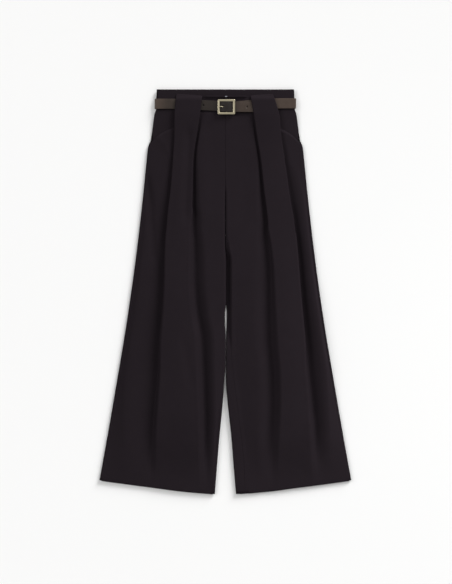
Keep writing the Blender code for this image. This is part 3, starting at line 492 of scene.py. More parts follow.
def side_edge(drop):
    """Back and front, or pocket facing above the pocket mouth, at the side seam halfway up the edge."""
    low = back_height_at(drop).height
    high = mix(facing_height_at(drop).height, height_at(drop).side, ease_between(drop, *FACING_TO_FRONT))
    radius = (high - low) / 2
    edge = side_at(drop).out
    path = edge_path(edge, -1, low, high, radius, edge, SIDE_LEADS)
    return split_edge(path, SIDE_LEADS, radius * pi, SIDE_LEADS[0] + radius * pi / 2, SIDE_STEPS - 2)


def inner_edge(leg, drop):
    """Back and front at the inner edge: the fly and the seat seam above the crotch, the inseam below it."""
    low, high = back_height_at(drop).height, height_at(drop).centre
    wrapped = ease_between(drop, CROTCH_DROP, CROTCH_DROP + WRAP_RUN)
    if leg == LEFT:
        low += WRAP_LIFT * wrapped * (1 - wrapped)
    radius = (high - low) / 2
    leads = INNER_LEADS[leg]
    arc_stops = INNER_STEPS - 2
    if drop <= CROTCH_DROP:
        turn = mix(FLY_EDGE_TURN, pi, ease_between(drop, FLY_END_DROP, CROTCH_DROP))
        edge = CENTRE_GAP / 2 - (radius + CLOTH / 2) * (1 - sin(min(turn, pi / 2)))
        path = edge_path(edge, 1, low, high, radius, edge, leads)
        _, front = split_edge(path, leads, radius * pi, leads[0] + radius * (pi - turn), arc_stops)
        opened = ease_between(drop, *SEAT_OPENS)
        bottom = mix(CENTRE_GAP / 2, radius + CLOTH / 2 + 2 * GAP, opened)
        back = [(bottom + leads[0] * (1 - i / INNER_STEPS), low) for i in range(INNER_STEPS + 1)]
        return back, front
    if leg == RIGHT:
        edge = inner_right_at(drop).out
        path = edge_path(edge, 1, low, high, radius, edge, leads)
        return split_edge(path, leads, radius * pi, leads[0], arc_stops)
    inner = inner_left_at(drop)
    tighter = ease_between(drop, *BEND_TIGHTENS) * (1 - ease_between(drop, *BEND_LOOSENS))
    bend_radius = mix(radius, LEFT_FOLD_RADIUS, tighter)
    path = edge_path(inner.out, 1, low, high, bend_radius, inner.seam, leads)
    across = max(inner.seam - (inner.out + CLOTH / 2 + bend_radius), 0.0)
    cut = leads[0] + (bend_radius * pi + across) * wrapped
    return split_edge(path, leads, bend_radius * pi, cut, arc_stops)


def fold(edge, toward, valley, flap, tuck):
    """One folded edge of the flap, from the valley beside it to the flap's top. The cloth runs under
    the flap by the tuck, turns back, and turns again over the flap's edge. An open fold is rounder."""
    advance = 2 * FOLD_RADIUS - tuck
    rise = flap - valley
    radius = FOLD_RADIUS
    if tuck < 0:
        radius = max(FOLD_RADIUS, OPEN_ROUNDNESS * (advance**2 + rise**2) / (4 * rise))
    climb = rise - 2 * radius
    turn = atan2(climb, advance) + asin(min(1.0, 2 * radius / hypot(advance, climb)))
    valley_centre = (tuck - FOLD_RADIUS, valley + radius)
    flap_centre = (FOLD_RADIUS, flap - radius)
    points = []
    for share in [0.0] + shares(VALLEY_STEPS):
        angle = turn * share
        points.append((valley_centre[0] + radius * sin(angle), valley_centre[1] - radius * cos(angle)))
    for share in [0.0] + shares(EDGE_ARC_STEPS):
        angle = turn * (1 - share)
        points.append((flap_centre[0] - radius * sin(angle), flap_centre[1] + radius * cos(angle)))
    return [(edge + toward * s, z) for s, z in points]


def half_section(front_edge, edge, toward, panel, valley, flap, tuck, ramp):
    """From the seam at a leg's edge to the top of the flap's edge that faces it."""
    points = list(reversed(front_edge))
    start, height = points[-1]
    tuck = max(tuck, 2 * FOLD_RADIUS + FOOT_CLEAR - OPEN_SHARE * abs(edge - start))
    foot = edge + toward * (min(tuck - FOLD_RADIUS, -FOOT_LEAST) - FOOT_CLEAR)
    shoulder = foot - toward * min(ramp, RAMP_LIMIT * abs(foot - start))
    for share in shares(PANEL_STEPS):
        points.append((mix(start, shoulder, share), mix(height, panel, share)))
    for share in shares(RAMP_STEPS):
        points.append((mix(shoulder, foot, share), mix(panel, valley, ease(share**RAMP_LEAN))))
    return points + fold(edge, toward, valley, flap, tuck)


# Columns of a front panel where one stretch ends and the next begins.
PANEL_COLUMNS = PANEL_STEPS + RAMP_STEPS + 1 + VALLEY_STEPS
OUTER_PANEL_END = SIDE_STEPS + PANEL_COLUMNS
FLAP_FIRST = OUTER_PANEL_END + 1 + EDGE_ARC_STEPS // 2
FLAP_LAST = FLAP_FIRST + EDGE_ARC_STEPS + FLAP_STEPS
INNER_PANEL_START = FLAP_LAST + EDGE_ARC_STEPS // 2 + 1
FRONT_COLUMNS = INNER_PANEL_START + PANEL_COLUMNS + INNER_STEPS


def calm(out, drop):
    """How far the stiff turned-up hem flattens the folds at this place."""
    return 1 - ease_between(hem_at(out).drop - drop, *HEM_CALM)


def pleat_edges(leg, drop):
    """Where the flap's own edges lie between the hollows: further in where a fold has opened."""
    hollow, tuck = pleat_at[leg](drop), tuck_at[leg](drop)
    return Edges(
        hollow.outer - max(HOLLOW_TO_FLAP, FOLD_RADIUS - tuck.outer),
        hollow.inner + max(HOLLOW_TO_FLAP, FOLD_RADIUS - tuck.inner),
    )


def front_section(leg, drop):
    """Every column of a front panel at one drop, from the side seam to the inner seam."""
    heights, tucks, pleat = height_at(drop), tuck_at[leg](drop), pleat_edges(leg, drop)
    _, side = side_edge(max(drop, FRONT_SIDE_DROP))
    _, inner = inner_edge(leg, drop)
    outer_panel = mix(heights.side, heights.outer_panel, OUTER_PANEL_RISE[leg])
    halves = []
    for front_edge, edge, toward, panel, valley, tuck, ramp in (
        (side, pleat.outer, -1, outer_panel, heights.outer_valley, tucks.outer, tucks.outer_ramp),
        (inner, pleat.inner, 1, heights.inner_panel, heights.inner_valley, tucks.inner, tucks.inner_ramp),
    ):
        still = calm(edge, drop)
        panel = mix(panel, HEM_HEIGHT, still)
        valley = mix(valley, HEM_HEIGHT, still)
        flap = mix(heights.flap, HEM_HEIGHT + FLAP_ON_HEM, still)
        halves.append(half_section(front_edge, edge, toward, panel, valley, flap, tuck, ramp))
    outer, inner = halves
    crown = FLAP_CROWN * (1 - calm(pleat.inner, drop))
    flap = []
    for share in shares(FLAP_STEPS)[:-1]:
        out = mix(outer[-1][0], inner[-1][0], share)
        flap.append((out, mix(outer[-1][1], inner[-1][1], share) + crown * sin(pi * share)))
    return outer + flap + list(reversed(inner))


def place(leg, out, drop, height):
    return Vector((leg * out * MM, (LENGTH / 2 - drop) * MM, height * MM))


# How often a place is looked up again where the out and the drop depend on each other.
FLAP_TRIES, MOUTH_TRIES = 8, 16


def flap_point(leg, column, share):
    """The flap above the belt slot: over the belt and down onto the waistband's outer face."""
    drop = SLOT_DROP
    for _ in range(FLAP_TRIES):
        out = flap_out(leg, column, drop)
        drop = mix(SLOT_DROP, flap_top_at(out).drop, share)
    height = max(height_at(drop).flap, FLAP_ON_WAISTBAND)
    if share == 1.0:
        height = FLAP_ON_WAISTBAND
    droop = min(FOLD_RADIUS, height - FLAP_ON_WAISTBAND)
    lip = min(column - FLAP_FIRST, FLAP_LAST - column)
    arc = EDGE_ARC_STEPS // 2
    angle = pi / 2 * max(0.0, 1 - lip / arc)
    inside = min(max((column - FLAP_FIRST - arc) / FLAP_STEPS, 0.0), 1.0)
    crown = FLAP_CROWN * sin(pi * inside) * (1 - share)
    return out, drop, height - droop * (1 - cos(angle)) + crown


def flap_out(leg, column, drop):
    pleat = pleat_edges(leg, drop)
    arc = EDGE_ARC_STEPS // 2
    first, last = column - FLAP_FIRST, FLAP_LAST - column
    if first < arc:
        return pleat.outer - FOLD_RADIUS * (1 - sin(pi / 2 * (1 - first / arc)))
    if last < arc:
        return pleat.inner + FOLD_RADIUS * (1 - sin(pi / 2 * (1 - last / arc)))
    share = (first - arc) / FLAP_STEPS
    return mix(pleat.outer - FOLD_RADIUS, pleat.inner + FOLD_RADIUS, share)


def turned_up(point, hem_drop, upward):
    """The rows of a turned-up hem: round its fold, then back up inside the leg."""
    base = hem_drop - CLOTH / 2 - HEM_FOLD_RADIUS
    rows = []
    out, height = point(base)
    for share in [0.0] + shares(HEM_ARC_STEPS):
        turn = pi * share
        lift = upward * HEM_FOLD_RADIUS * (1 - cos(turn))
        rows.append((out, base + HEM_FOLD_RADIUS * sin(turn), height + lift))
    out, height = point(base - HEM_TURN_UP)
    rows.append((out, base - HEM_TURN_UP, height + upward * HEM_LAYER_APART))
    return rows


def front_top(store, leg, column):
    """Where a column of the front panel begins: at the pocket mouth, the slot or the waist seam."""
    arc = VALLEY_STEPS // 2 + 1
    if column <= OUTER_PANEL_END - arc:
        drop = MOUTH_NEAR_DROP
        for _ in range(MOUTH_TRIES):
            drop = mouth_at(store.point(column, drop)[0]).drop
        return drop
    if column >= INNER_PANEL_START + arc:
        return front_waist_at(store.point(column, WAIST_NEAR_DROP)[0]).bottom + GAP
    return SLOT_DROP


# Small folds and hollows of the front panels, each a line of (out, drop) with its width and its height:
# a ridge stands up and a hollow, with a height below zero, sinks in.
CREASES = {
    RIGHT: (
        (((209, 255), (201, 311), (200, 352), (190, 440)), 9, -4.6),
        (((99, 130), (102, 200), (107, 330)), 10, -3.2),
        (((109, 690), (94, 784)), 12, -1.6),
        (((178, 132), (160, 152), (148, 176)), 6, 1.3),
        (((120, 200), (122, 420)), 18, 0.5),
        (((62, 130), (56, 330)), 16, 1.3),
        (((250, 700), (262, 860), (280, 1000)), 20, 1.4),
        (((130, 560), (118, 900)), 24, 0.9),
    ),
    LEFT: (
        (((180, 120), (172, 150), (170, 200)), 8, 0.5),
        (((226, 330), (232, 430), (236, 520)), 10, -1.2),
        (((40, 130), (56, 340)), 16, -0.6),
        (((150, 300), (168, 640)), 22, 0.8),
        (((180, 700), (190, 980)), 24, 1.2),
        (((70, 520), (84, 860)), 26, 0.9),
        (((226, 900), (226, 1060)), 18, 2.2),
    ),
}
# The softer ones of the hidden back panels.
BACK_CREASES = {
    RIGHT: (
        (((120, 380), (122, 600), (122, 960)), 15, 1.4),
        (((36, 420), (30, 640)), 10, 1.0),
    ),
    LEFT: (
        (((152, 400), (172, 676), (189, 960)), 14, 1.3),
        (((58, 420), (66, 700), (84, 940)), 14, 1.1),
    ),
}
# A crease fades over this distance past its ends, and between these drops below the waist and above the
# hem. No hollow sinks below the lowest height, and near the side seam there are none.
CREASE_FADE = 40.0
CREASES_BEGIN, CREASES_END = (60.0, 120.0), (1000.0, 1060.0)
CREASES_OFF_SIDE = (3.0, 12.0)
LOWEST_HOLLOW = 2.0


def crease_height(creases, out, drop):
    """How far the small folds lift or sink the cloth at a place."""
    found = 0.0
    for line, width, height in creases:
        for (ax, ay), (bx, by) in zip(line, line[1:]):
            dx, dy = bx - ax, by - ay
            share = ((out - ax) * dx + (drop - ay) * dy) / (dx * dx + dy * dy)
            low = -CREASE_FADE / hypot(dx, dy) if (ax, ay) == line[0] else 0.0
            high = 1 + CREASE_FADE / hypot(dx, dy) if (bx, by) == line[-1] else 1.0
            if not low <= share < high:
                continue
            away = hypot(out - ax - share * dx, drop - ay - share * dy)
            fade = 1.0
            if share < 0:
                fade = 1 - ease(share / low)
            if share > 1:
                fade = 1 - ease((share - 1) / (high - 1))
            found += height * fade * exp(-((away / width) ** 2))
            break
    return found


class SectionStore:
    """Cross-sections of a leg panel at even drops, read in between by mixing the two nearest."""

    def __init__(self, section, leg):
        self.section = section
        self.leg = leg
        self.found = {}

    def known(self, number):
        if number not in self.found:
            self.found[number] = self.section(self.leg, number * SECTION_SIZE)
        return self.found[number]

    def point(self, column, drop):
        number = floor(drop / SECTION_SIZE)
        share = drop / SECTION_SIZE - number
        (ax, az), (bx, bz) = self.known(number)[column], self.known(number + 1)[column]
        return mix(ax, bx, share), mix(az, bz, share)


def even_rows(start, end, size):
    count = max(int(ceil((end - start) / size)), 1)
    return [mix(start, end, i / count) for i in range(count + 1)]


def make_grid_object(name, grid, material, thickness=0.0, keep=None):
    """A sheet over grid[row][column] with a UV map in metres along the cloth, and its wall. Without a
    thickness it is a closed tube or ring, whose edges that meet are merged."""
    rows, columns = len(grid) - 1, len(grid[0]) - 1
    mesh = bmesh.new()
    bmesh.ops.create_grid(mesh, x_segments=columns, y_segments=rows, size=1.0, calc_uvs=True)
    mesh.verts.ensure_lookup_table()
    for index, vert in enumerate(mesh.verts):
        row, column = divmod(index, columns + 1)
        vert.co = grid[row][column]
    across = [distances(row) for row in grid]
    middle = len(grid[0]) // 2
    down = distances([row[middle] for row in grid])
    weave = mesh.loops.layers.uv.verify()
    unwanted = []
    for face in mesh.faces:
        row, column = divmod(min(vert.index for vert in face.verts), columns + 1)
        if keep and not keep(row, column):
            unwanted.append(face)
            continue
        for loop in face.loops:
            r, c = divmod(loop.vert.index, columns + 1)
            loop[weave].uv = (across[r][c], down[r])
    bmesh.ops.delete(mesh, geom=unwanted, context="FACES")
    if not thickness:
        bmesh.ops.remove_doubles(mesh, verts=mesh.verts, dist=MERGE_DISTANCE)
        return make_object(name, mesh, material)
    made = make_object(name, mesh, material)
    wall = made.modifiers.new("wall", "SOLIDIFY")
    wall.thickness = thickness * MM
    wall.offset = 0.0
    wall.use_even_offset = True
    return made


def distances(points):
    found = [0.0]
    for a, b in zip(points, points[1:]):
        found.append(found[-1] + (b - a).length)
    return found


def link_object(name, data):
    made = bpy.data.objects.new(name, data)
    bpy.context.scene.collection.objects.link(made)
    return made


def make_object(name, mesh, material):
    old = bpy.data.objects.get(name)
    if old:
        bpy.data.objects.remove(old, do_unlink=True)
    data = bpy.data.meshes.new(name)
    mesh.to_mesh(data)
    mesh.free()
    data.shade_smooth()
    data.materials.append(material)
    return link_object(name, data)


def open_mesh(made):
    mesh = bmesh.new()
    mesh.from_mesh(made.data)
    return mesh


def fill_rims(mesh):
    rims = [edge for edge in mesh.edges if edge.is_boundary]
    bmesh.ops.holes_fill(mesh, edges=rims)


def close_mesh(made, mesh):
    """Writes a changed mesh back, with its faces pointing outwards."""
    bmesh.ops.recalc_face_normals(mesh, faces=mesh.faces)
    mesh.to_mesh(made.data)
    mesh.free()


def finish_piece(made, node):
    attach(made, "root")
    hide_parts(node)
    return made


def cloth_piece(name, node, grid, thickness=CLOTH, keep=None):
    return finish_piece(make_grid_object(name, grid, cloth_material(), thickness, keep), node)


# Leg panels.
def column_line(store, column, top, upward, creases):
    """A column's points from its top to the hem, and back up inside the leg. upward is the turned-up
    strip's side of the panel."""

    def point(drop):
        out, height = store.point(column, drop)
        off_side = ease_between(side_at(drop).out - out, *CREASES_OFF_SIDE)
        creased = height + crease_height(creases, out, drop) * crease_share(drop) * off_side
        return out, max(creased, min(height, LOWEST_HOLLOW))

    hem = hem_at(store.point(column, HEM_NEAR_DROP)[0]).drop
    fold_start = hem - CLOTH / 2 - HEM_FOLD_RADIUS
    points = []
    for share in [0.0] + shares(PANEL_ROWS)[:-1]:
        drop = mix(top, fold_start, share)
        out, height = point(drop)
        points.append((out, drop, height))
    return points + turned_up(point, hem, upward)


def crease_share(drop):
    return ease_between(drop, *CREASES_BEGIN) * (1 - ease_between(drop, *CREASES_END))


def in_panel(row, column, last_column):
    """The edges' own strips end at the hem and aren't turned up with it."""
    return row < PANEL_ROWS or SIDE_STEPS <= column < last_column - INNER_STEPS


def build_front(leg, word):
    store = SectionStore(front_section, leg)
    columns = []
    for column in range(FRONT_COLUMNS + 1):
        below = column_line(store, column, front_top(store, leg, column), -1, CREASES[leg])
        above = [below[0]] * FLAP_ROWS
        if FLAP_FIRST <= column <= FLAP_LAST:
            above = [flap_point(leg, column, 1 - row / FLAP_ROWS) for row in range(FLAP_ROWS)]
        columns.append([place(leg, *point) for point in above + below])

    def keep(row, column):
        if row < FLAP_ROWS:
            return FLAP_FIRST <= column < FLAP_LAST
        return in_panel(row - FLAP_ROWS, column, FRONT_COLUMNS)

    return cloth_piece(f"front_panel_{word}", f"front_{word}", list(zip(*columns)), keep=keep)


def build_back(leg, word):
    store = SectionStore(back_section, leg)
    columns = []
    for column in range(BACK_COLUMNS + 1):
        points = column_line(store, column, BACK_WAIST_BOTTOM + GAP, 1, BACK_CREASES[leg])
        columns.append([place(leg, *point) for point in points])

    def keep(row, column):
        return in_panel(row, column, BACK_COLUMNS)

    return cloth_piece(f"back_panel_{word}", f"back_{word}", list(zip(*columns)), keep=keep)


def back_section(leg, drop):
    side, _ = side_edge(drop)
    inner, _ = inner_edge(leg, drop)
    low = back_height_at(drop).height
    flat = [(mix(side[0][0], inner[0][0], share), low) for share in shares(BACK_FLAT_STEPS)[:-1]]
    return list(reversed(side)) + flat + inner


# Pocket facings, waistbands and belt loops.
def build_facing(leg, word):
    columns = []
    steps = SIDE_STEPS + FACING_STEPS
    for column in range(steps + 1):
        points = []
        out = mix(side_at(FACING_MIDDLE_DROP).out, FACING_INNER_OUT, column / steps)
        top = front_waist_at(out).bottom + GAP
        for row in range(FACING_ROWS + 1):
            drop = mix(top, FACING_BOTTOM_DROP, row / FACING_ROWS)
            points.append(place(leg, *facing_point(column, steps, drop)))
        columns.append(points)
    return cloth_piece(f"facing_{word}", f"pocket_facing_{word}", list(zip(*columns)))


def facing_point(column, steps, drop):
    """Above the pocket mouth the facing rolls down to the side seam; lower down it lies flat inside."""
    height = facing_height_at(drop).height
    inside = ease_between(drop, *FACING_TURNS_IN)
    rolled_drop = min(drop, FACING_ROLL_END)
    _, side = side_edge(rolled_drop)
    edge = side_at(drop).out
    shift = edge - side_at(rolled_drop).out
    flat_edge = edge - FACING_INSET
    if column <= SIDE_STEPS:
        out, rolled = side[SIDE_STEPS - column]
        rolled += SEAM_EASE if column < 2 else 0.0
        flat_out = flat_edge - FACING_EDGE_WIDTH * column / SIDE_STEPS
        return mix(out + shift, flat_out, inside), drop, mix(rolled, height, inside)
    start = mix(side[0][0] + shift, flat_edge - FACING_EDGE_WIDTH, inside)
    share = (column - SIDE_STEPS) / (steps - SIDE_STEPS)
    return mix(start, FACING_INNER_OUT, share), drop, height


def waistband_height(out, depth):
    """The front waistband's top edge stands up a little between the flaps, then drops behind the belt."""
    level, fall = WAIST_LIP_DEPTH
    lip = WAIST_LIP * (1 - ease_between(out, *WAIST_LIP_OUT)) * (1 - ease((depth - level) / fall))
    return FRONT_WAISTBAND_HEIGHT + lip


def build_front_waistband(leg, word):
    """Its outer columns follow the slope of the side."""
    columns = []
    for column in range(FRONT_WAISTBAND_STEPS + 1):
        points = []
        for share in WAIST_LIP_ROWS + shares(BELOW_LIP_STEPS)[2:]:
            out = mix(side_at(0).out - FRONT_WAISTBAND_INSET, GAP / 2, column / FRONT_WAISTBAND_STEPS)
            waist = front_waist_at(out)
            drop = mix(waist.top, waist.bottom, share)
            shift = (side_at(drop).out - side_at(0).out) * max(1 - column / SIDE_FOLLOW_STEPS, 0)
            points.append(place(leg, out + shift, drop, waistband_height(out, drop - waist.top)))
        columns.append(points)
    node = f"waistband_front_{word}"
    return cloth_piece(f"front_waistband_{word}", node, list(zip(*columns)), WAISTBAND)


def build_back_waistband():
    grid = []
    inset, low = BACK_WAISTBAND_EDGE[-1]
    for row in range(BACK_WAISTBAND_ROWS + 1):
        drop = BACK_WAIST_BOTTOM * row / BACK_WAISTBAND_ROWS
        edge = side_at(drop).out
        left = [place(LEFT, edge - away, drop, height) for away, height in BACK_WAISTBAND_EDGE]
        right = [place(RIGHT, edge - away, drop, height) for away, height in BACK_WAISTBAND_EDGE]
        flat = [
            place(LEFT, mix(edge - inset, inset - edge, share), drop, low)
            for share in shares(BACK_WAISTBAND_STEPS)[:-1]
        ]
        grid.append(left + flat + right[::-1])
    return cloth_piece("back_waistband", "waistband_back", grid, WAISTBAND)


def build_back_loop(leg, word):
    grid = []
    for drop in even_rows(BACK_LOOP[0][0], BACK_LOOP[-1][0], LOOP_ROW_SIZE):
        line = []
        for across in range(LOOP_STEPS + 1):
            out = BACK_LOOP_OUT + (0.5 - across / LOOP_STEPS) * BACK_LOOP_WIDTH
            line.append(place(leg, out, drop, back_loop_at(drop).height))
        grid.append(line)
    return cloth_piece(f"back_loop_{word}", f"belt_loop_back_{word}", grid, LOOP_CLOTH)


# The belt.
def smooth_line(points, size):
    """Points along a smooth curve through the given ones, each a tuple of any length."""
    found = []
    for i in range(len(points) - 1):
        before = points[max(i - 1, 0)]
        a, b = points[i], points[i + 1]
        after = points[min(i + 2, len(points) - 1)]
        count = max(int(ceil(hypot(b[0] - a[0], b[1] - a[1]) / size)), 1)
        for k in range(count):
            t = k / count
            found.append(tuple(spline(p, q, r, s, t) for p, q, r, s in zip(before, a, b, after)))
    return found + [points[-1]]


def spline(p, q, r, s, t):
    return q + t * ((r - p) + t * ((2 * p - 5 * q + 4 * r - s) + t * (3 * (q - r) + s - p))) / 2


def belt_line():
    """Stations of the strap from its tip to the end that is turned round the centre bar of the buckle."""
    stations = []
    for x, height in FREE_END:
        stations.append((x, height, belt_drop_at(x).free, STRAP))
    outer = BELT_TURN_OUT - STRAP / 2
    radius = (BELT_FRONT - BELT_BACK) / 2
    for side in (RIGHT, LEFT):
        centre = side * (outer - radius)
        for i in range(BELT_TURN_STEPS + 1):
            turn = pi * i / BELT_TURN_STEPS
            if side == LEFT:
                turn = pi - turn
            height = BELT_BACK + radius * (1 + cos(turn))
            x = centre + side * radius * sin(turn)
            stations.append((x, height, belt_drop_at(x).fixed, STRAP))
        if side == RIGHT:
            for share in shares(BELT_BACK_STEPS)[:-1]:
                x = mix(centre, -centre, share)
                stations.append((x, BELT_BACK, BELT_BACK_DROP, STRAP))
    for x, height, thickness in FIXED_END:
        stations.append((x, height, belt_drop_at(x).fixed, thickness))
    return smooth_line(stations, BELT_STATION_SIZE)


def build_belt(material):
    stations = belt_line()
    last = len(stations) - 1
    ring = list(STRAP_PROFILE) + [(-y, -z) for y, z in STRAP_PROFILE[1:]]
    grid = []
    for index, (x, height, drop, thickness) in enumerate(stations):
        ahead, behind = stations[min(index + 1, last)], stations[max(index - 1, 0)]
        run, rise = ahead[0] - behind[0], ahead[1] - behind[1]
        size = hypot(run, rise)
        narrow = TIP_WIDTHS[index] if index < len(TIP_WIDTHS) else 1.0
        end = STRAP_END_SHARE if index in (0, last) else 1.0
        line = []
        for across, up in ring:
            lift = up * thickness / 2 * end
            edge_drop = drop - across * narrow * BELT_WIDTH / 2
            line.append(place(LEFT, x + rise / size * lift, edge_drop, height - run / size * lift))
        grid.append(line)
    made = make_grid_object("belt", grid, material)
    mesh = open_mesh(made)
    fill_rims(mesh)
    close_mesh(made, mesh)
    made.data.shade_smooth()
    for x, stretch, height, depth in BELT_HOLES:
        hole = bmesh.new()
        spot = Matrix.Translation(place(LEFT, x, belt_drop_at(x).free, height))
        matrix = spot @ Matrix.Diagonal((stretch, 1, 1, 1))
        bmesh.ops.transform(hole, matrix=matrix, verts=add_rod(hole, HOLE_RADIUS, depth))
        cut_with(made, hole)
    x, height = PRONG_SLOT_MIDDLE
    cut_with(made, new_block(PRONG_SLOT, place(LEFT, x, PRONG_DROP, height)))
    return finish_piece(made, "belt_strap")


def new_block(size, middle, rounding=0.0):
    """A mesh of one block, with its edges rounded if asked."""
    mesh = bmesh.new()
    bmesh.ops.create_cube(mesh, size=1.0)
    bmesh.ops.scale(mesh, vec=Vector(size) * MM, verts=mesh.verts)
    if rounding:
        offset = rounding * MM
        bmesh.ops.bevel(
            mesh, geom=mesh.edges, offset=offset, segments=3, profile=0.5, affect="EDGES", material=-1
        )
    bmesh.ops.translate(mesh, vec=middle, verts=mesh.verts)
    return mesh


def add_rod(mesh, radius, length):
    """Adds a round rod that stands at the origin, and gives its vertices."""
    size = radius * MM
    rod = bmesh.ops.create_cone(
        mesh, cap_ends=True, segments=ROD_SEGMENTS, radius1=size, radius2=size, depth=length * MM
    )
    return rod["verts"]


def cut_with(made, shape):
    """Cuts a piece with a shape that is then removed."""
    cutter = make_object("cutter", shape, made.data.materials[0])
    step = made.modifiers.new("cut", "BOOLEAN")
    step.operation = "DIFFERENCE"
    step.solver = "EXACT"
    step.object = cutter
    bpy.context.view_layer.update()
    graph = bpy.context.evaluated_depsgraph_get()
    result = bpy.data.meshes.new_from_object(made.evaluated_get(graph))
    made.modifiers.clear()
    old = made.data
    made.data = result
    bpy.data.meshes.remove(old)
    bpy.data.objects.remove(cutter, do_unlink=True)


# The buckle.
def ring_grid(path, section):
    """Closed grid of a section carried round a closed path of (position, outward, up)."""
    grid = []
    for spot, outward, up in path:
        line = [spot + outward * (a * MM) + up * (b * MM) for a, b in section]
        grid.append(line + [line[0]])
    return grid + [grid[0]]


def corner_points(x, y, radius, start, steps):
    """A quarter circle round a corner's centre, from a start in half turns."""
    angles = [pi * (start + 0.5 * i / steps) for i in range(steps + 1)]
    return [(x + radius * cos(angle), y + radius * sin(angle)) for angle in angles]


def rounded_loop(width, height, radius, steps):
    """Points round a rectangle with rounded corners, as many at each corner."""
    points = []
    for x, y, start in ((1, 1, 0.0), (-1, 1, 0.5), (-1, -1, 1.0), (1, -1, 1.5)):
        points += corner_points(x * (width / 2 - radius), y * (height / 2 - radius), radius, start, steps)
    return points


def build_buckle(material):
    """A rounded section carried between the window's outline and the outer one, with its bar on posts."""
    middle = place(LEFT, BUCKLE_X, BUCKLE_DROP, BUCKLE_HEIGHT)
    window = rounded_loop(*BUCKLE_WINDOW, WINDOW_CORNER, OUTLINE_CORNER_STEPS)
    outer = rounded_loop(*BUCKLE_OUTER, OUTER_CORNER, OUTLINE_CORNER_STEPS)
    section = rounded_loop(2.0, BUCKLE_THICK, BUCKLE_ROUNDING, SECTION_CORNER_STEPS)
    grid = []
    for (x0, y0), (x1, y1) in zip(window, outer):
        inside, outside = Vector((x0, y0, 0)) * MM, Vector((x1, y1, 0)) * MM
        line = []
        for a, b in section:
            line.append(middle + inside.lerp(outside, a / 2 + 0.5) + Vector((0, 0, b * MM)))
        grid.append(line + [line[0]])
    grid.append(grid[0])
    made = make_grid_object("buckle", grid, material)
    mesh = open_mesh(made)
    half = (BUCKLE_WINDOW[1] + BAR_PAST_WINDOW) / 2
    bar = add_rod(mesh, BAR_RADIUS, 2 * half + BAR_PAST_POSTS)
    bmesh.ops.rotate(mesh, matrix=Matrix.Rotation(pi / 2, 3, "X"), verts=bar)
    bmesh.ops.translate(mesh, vec=place(LEFT, BAR_X, BUCKLE_DROP, BAR_HEIGHT), verts=bar)
    tall = BUCKLE_HEIGHT - BAR_HEIGHT + POST_INTO_FRAME
    for side in (-1, 1):
        post = add_rod(mesh, POST_RADIUS, tall)
        spot = place(LEFT, BAR_X, BUCKLE_DROP + side * half, BAR_HEIGHT + tall / 2 - POST_LOWERED)
        bmesh.ops.translate(mesh, vec=spot, verts=post)
    close_mesh(made, mesh)
    return finish_piece(made, "buckle_frame")


def build_prong(material):
    """A ring round the buckle's bar, and the pin that starts in it."""
    centre = place(LEFT, BAR_X, PRONG_DROP, BAR_HEIGHT)
    path = []
    for i in range(RING_SEGMENTS):
        angle = 2 * pi * i / RING_SEGMENTS
        outward = Vector((cos(angle), 0, sin(angle)))
        spot = centre + outward * ((BAR_RADIUS + RING_PLAY + PRONG_RING) / 2 * MM)
        path.append((spot, outward, Vector((0, 1, 0))))
    wall = PRONG_RING - BAR_RADIUS - RING_PLAY
    section = rounded_loop(wall, PRONG_WIDTH, RING_ROUNDING, SECTION_CORNER_STEPS)
    made = make_grid_object("prong", ring_grid(path, section), material)
    mesh = open_mesh(made)
    add_pin(mesh, smooth_line(PRONG_LINE, PRONG_STATION_SIZE))
    close_mesh(made, mesh)
    return finish_piece(made, "buckle_prong")


def add_pin(mesh, stations):
    """Adds a round pin along its stations of (x, height, radius), closed at both ends."""
    last = len(stations) - 1
    verts = bmesh.ops.create_grid(mesh, x_segments=PIN_SEGMENTS, y_segments=last, size=1.0)["verts"]
    for number, vert in enumerate(verts):
        index, step = divmod(number, PIN_SEGMENTS + 1)
        x, height, radius = stations[index]
        ahead, behind = stations[min(index + 1, last)], stations[max(index - 1, 0)]
        tangent = Vector((ahead[0] - behind[0], 0, ahead[1] - behind[1])).normalized()
        angle = 2 * pi * step / PIN_SEGMENTS
        outward = tangent.to_track_quat("Z", "Y") @ Vector((cos(angle), sin(angle), 0))
        vert.co = place(LEFT, x, PRONG_DROP, height) + outward * (radius * MM)
    bmesh.ops.remove_doubles(mesh, verts=verts, dist=MERGE_DISTANCE)
    fill_rims(mesh)


def build_hook(material):
    mesh = new_block(HOOK_SIZE, place(LEFT, HOOK_X, HOOK_DROP, HOOK_HEIGHT), HOOK_ROUNDING)
    return finish_piece(make_object("hook", mesh, material), "waist_hook")


# Materials.
CLOTH_FINISH, METAL_FINISH = "matt_twill", "pale_gold_plate"


class Shade:
    """A shader socket whose sums and products add Math nodes."""

    def __init__(self, finish, socket):
        self.finish = finish
        self.socket = socket

    def math(self, operation, *others):
        values = {i: other for i, other in enumerate((self, *others))}
        return self.finish.node("ShaderNodeMath", {"operation": operation}, values)

    def __add__(self, other):
        return self.math("ADD", other)

    __radd__ = __add__

    def __mul__(self, other):
        return self.math("MULTIPLY", other)

    __rmul__ = __mul__

    def __sub__(self, other):
        return self.math("SUBTRACT", other)

    def __rsub__(self, other):
        return self.finish.node("ShaderNodeMath", {"operation": "SUBTRACT"}, {0: other, 1: self})


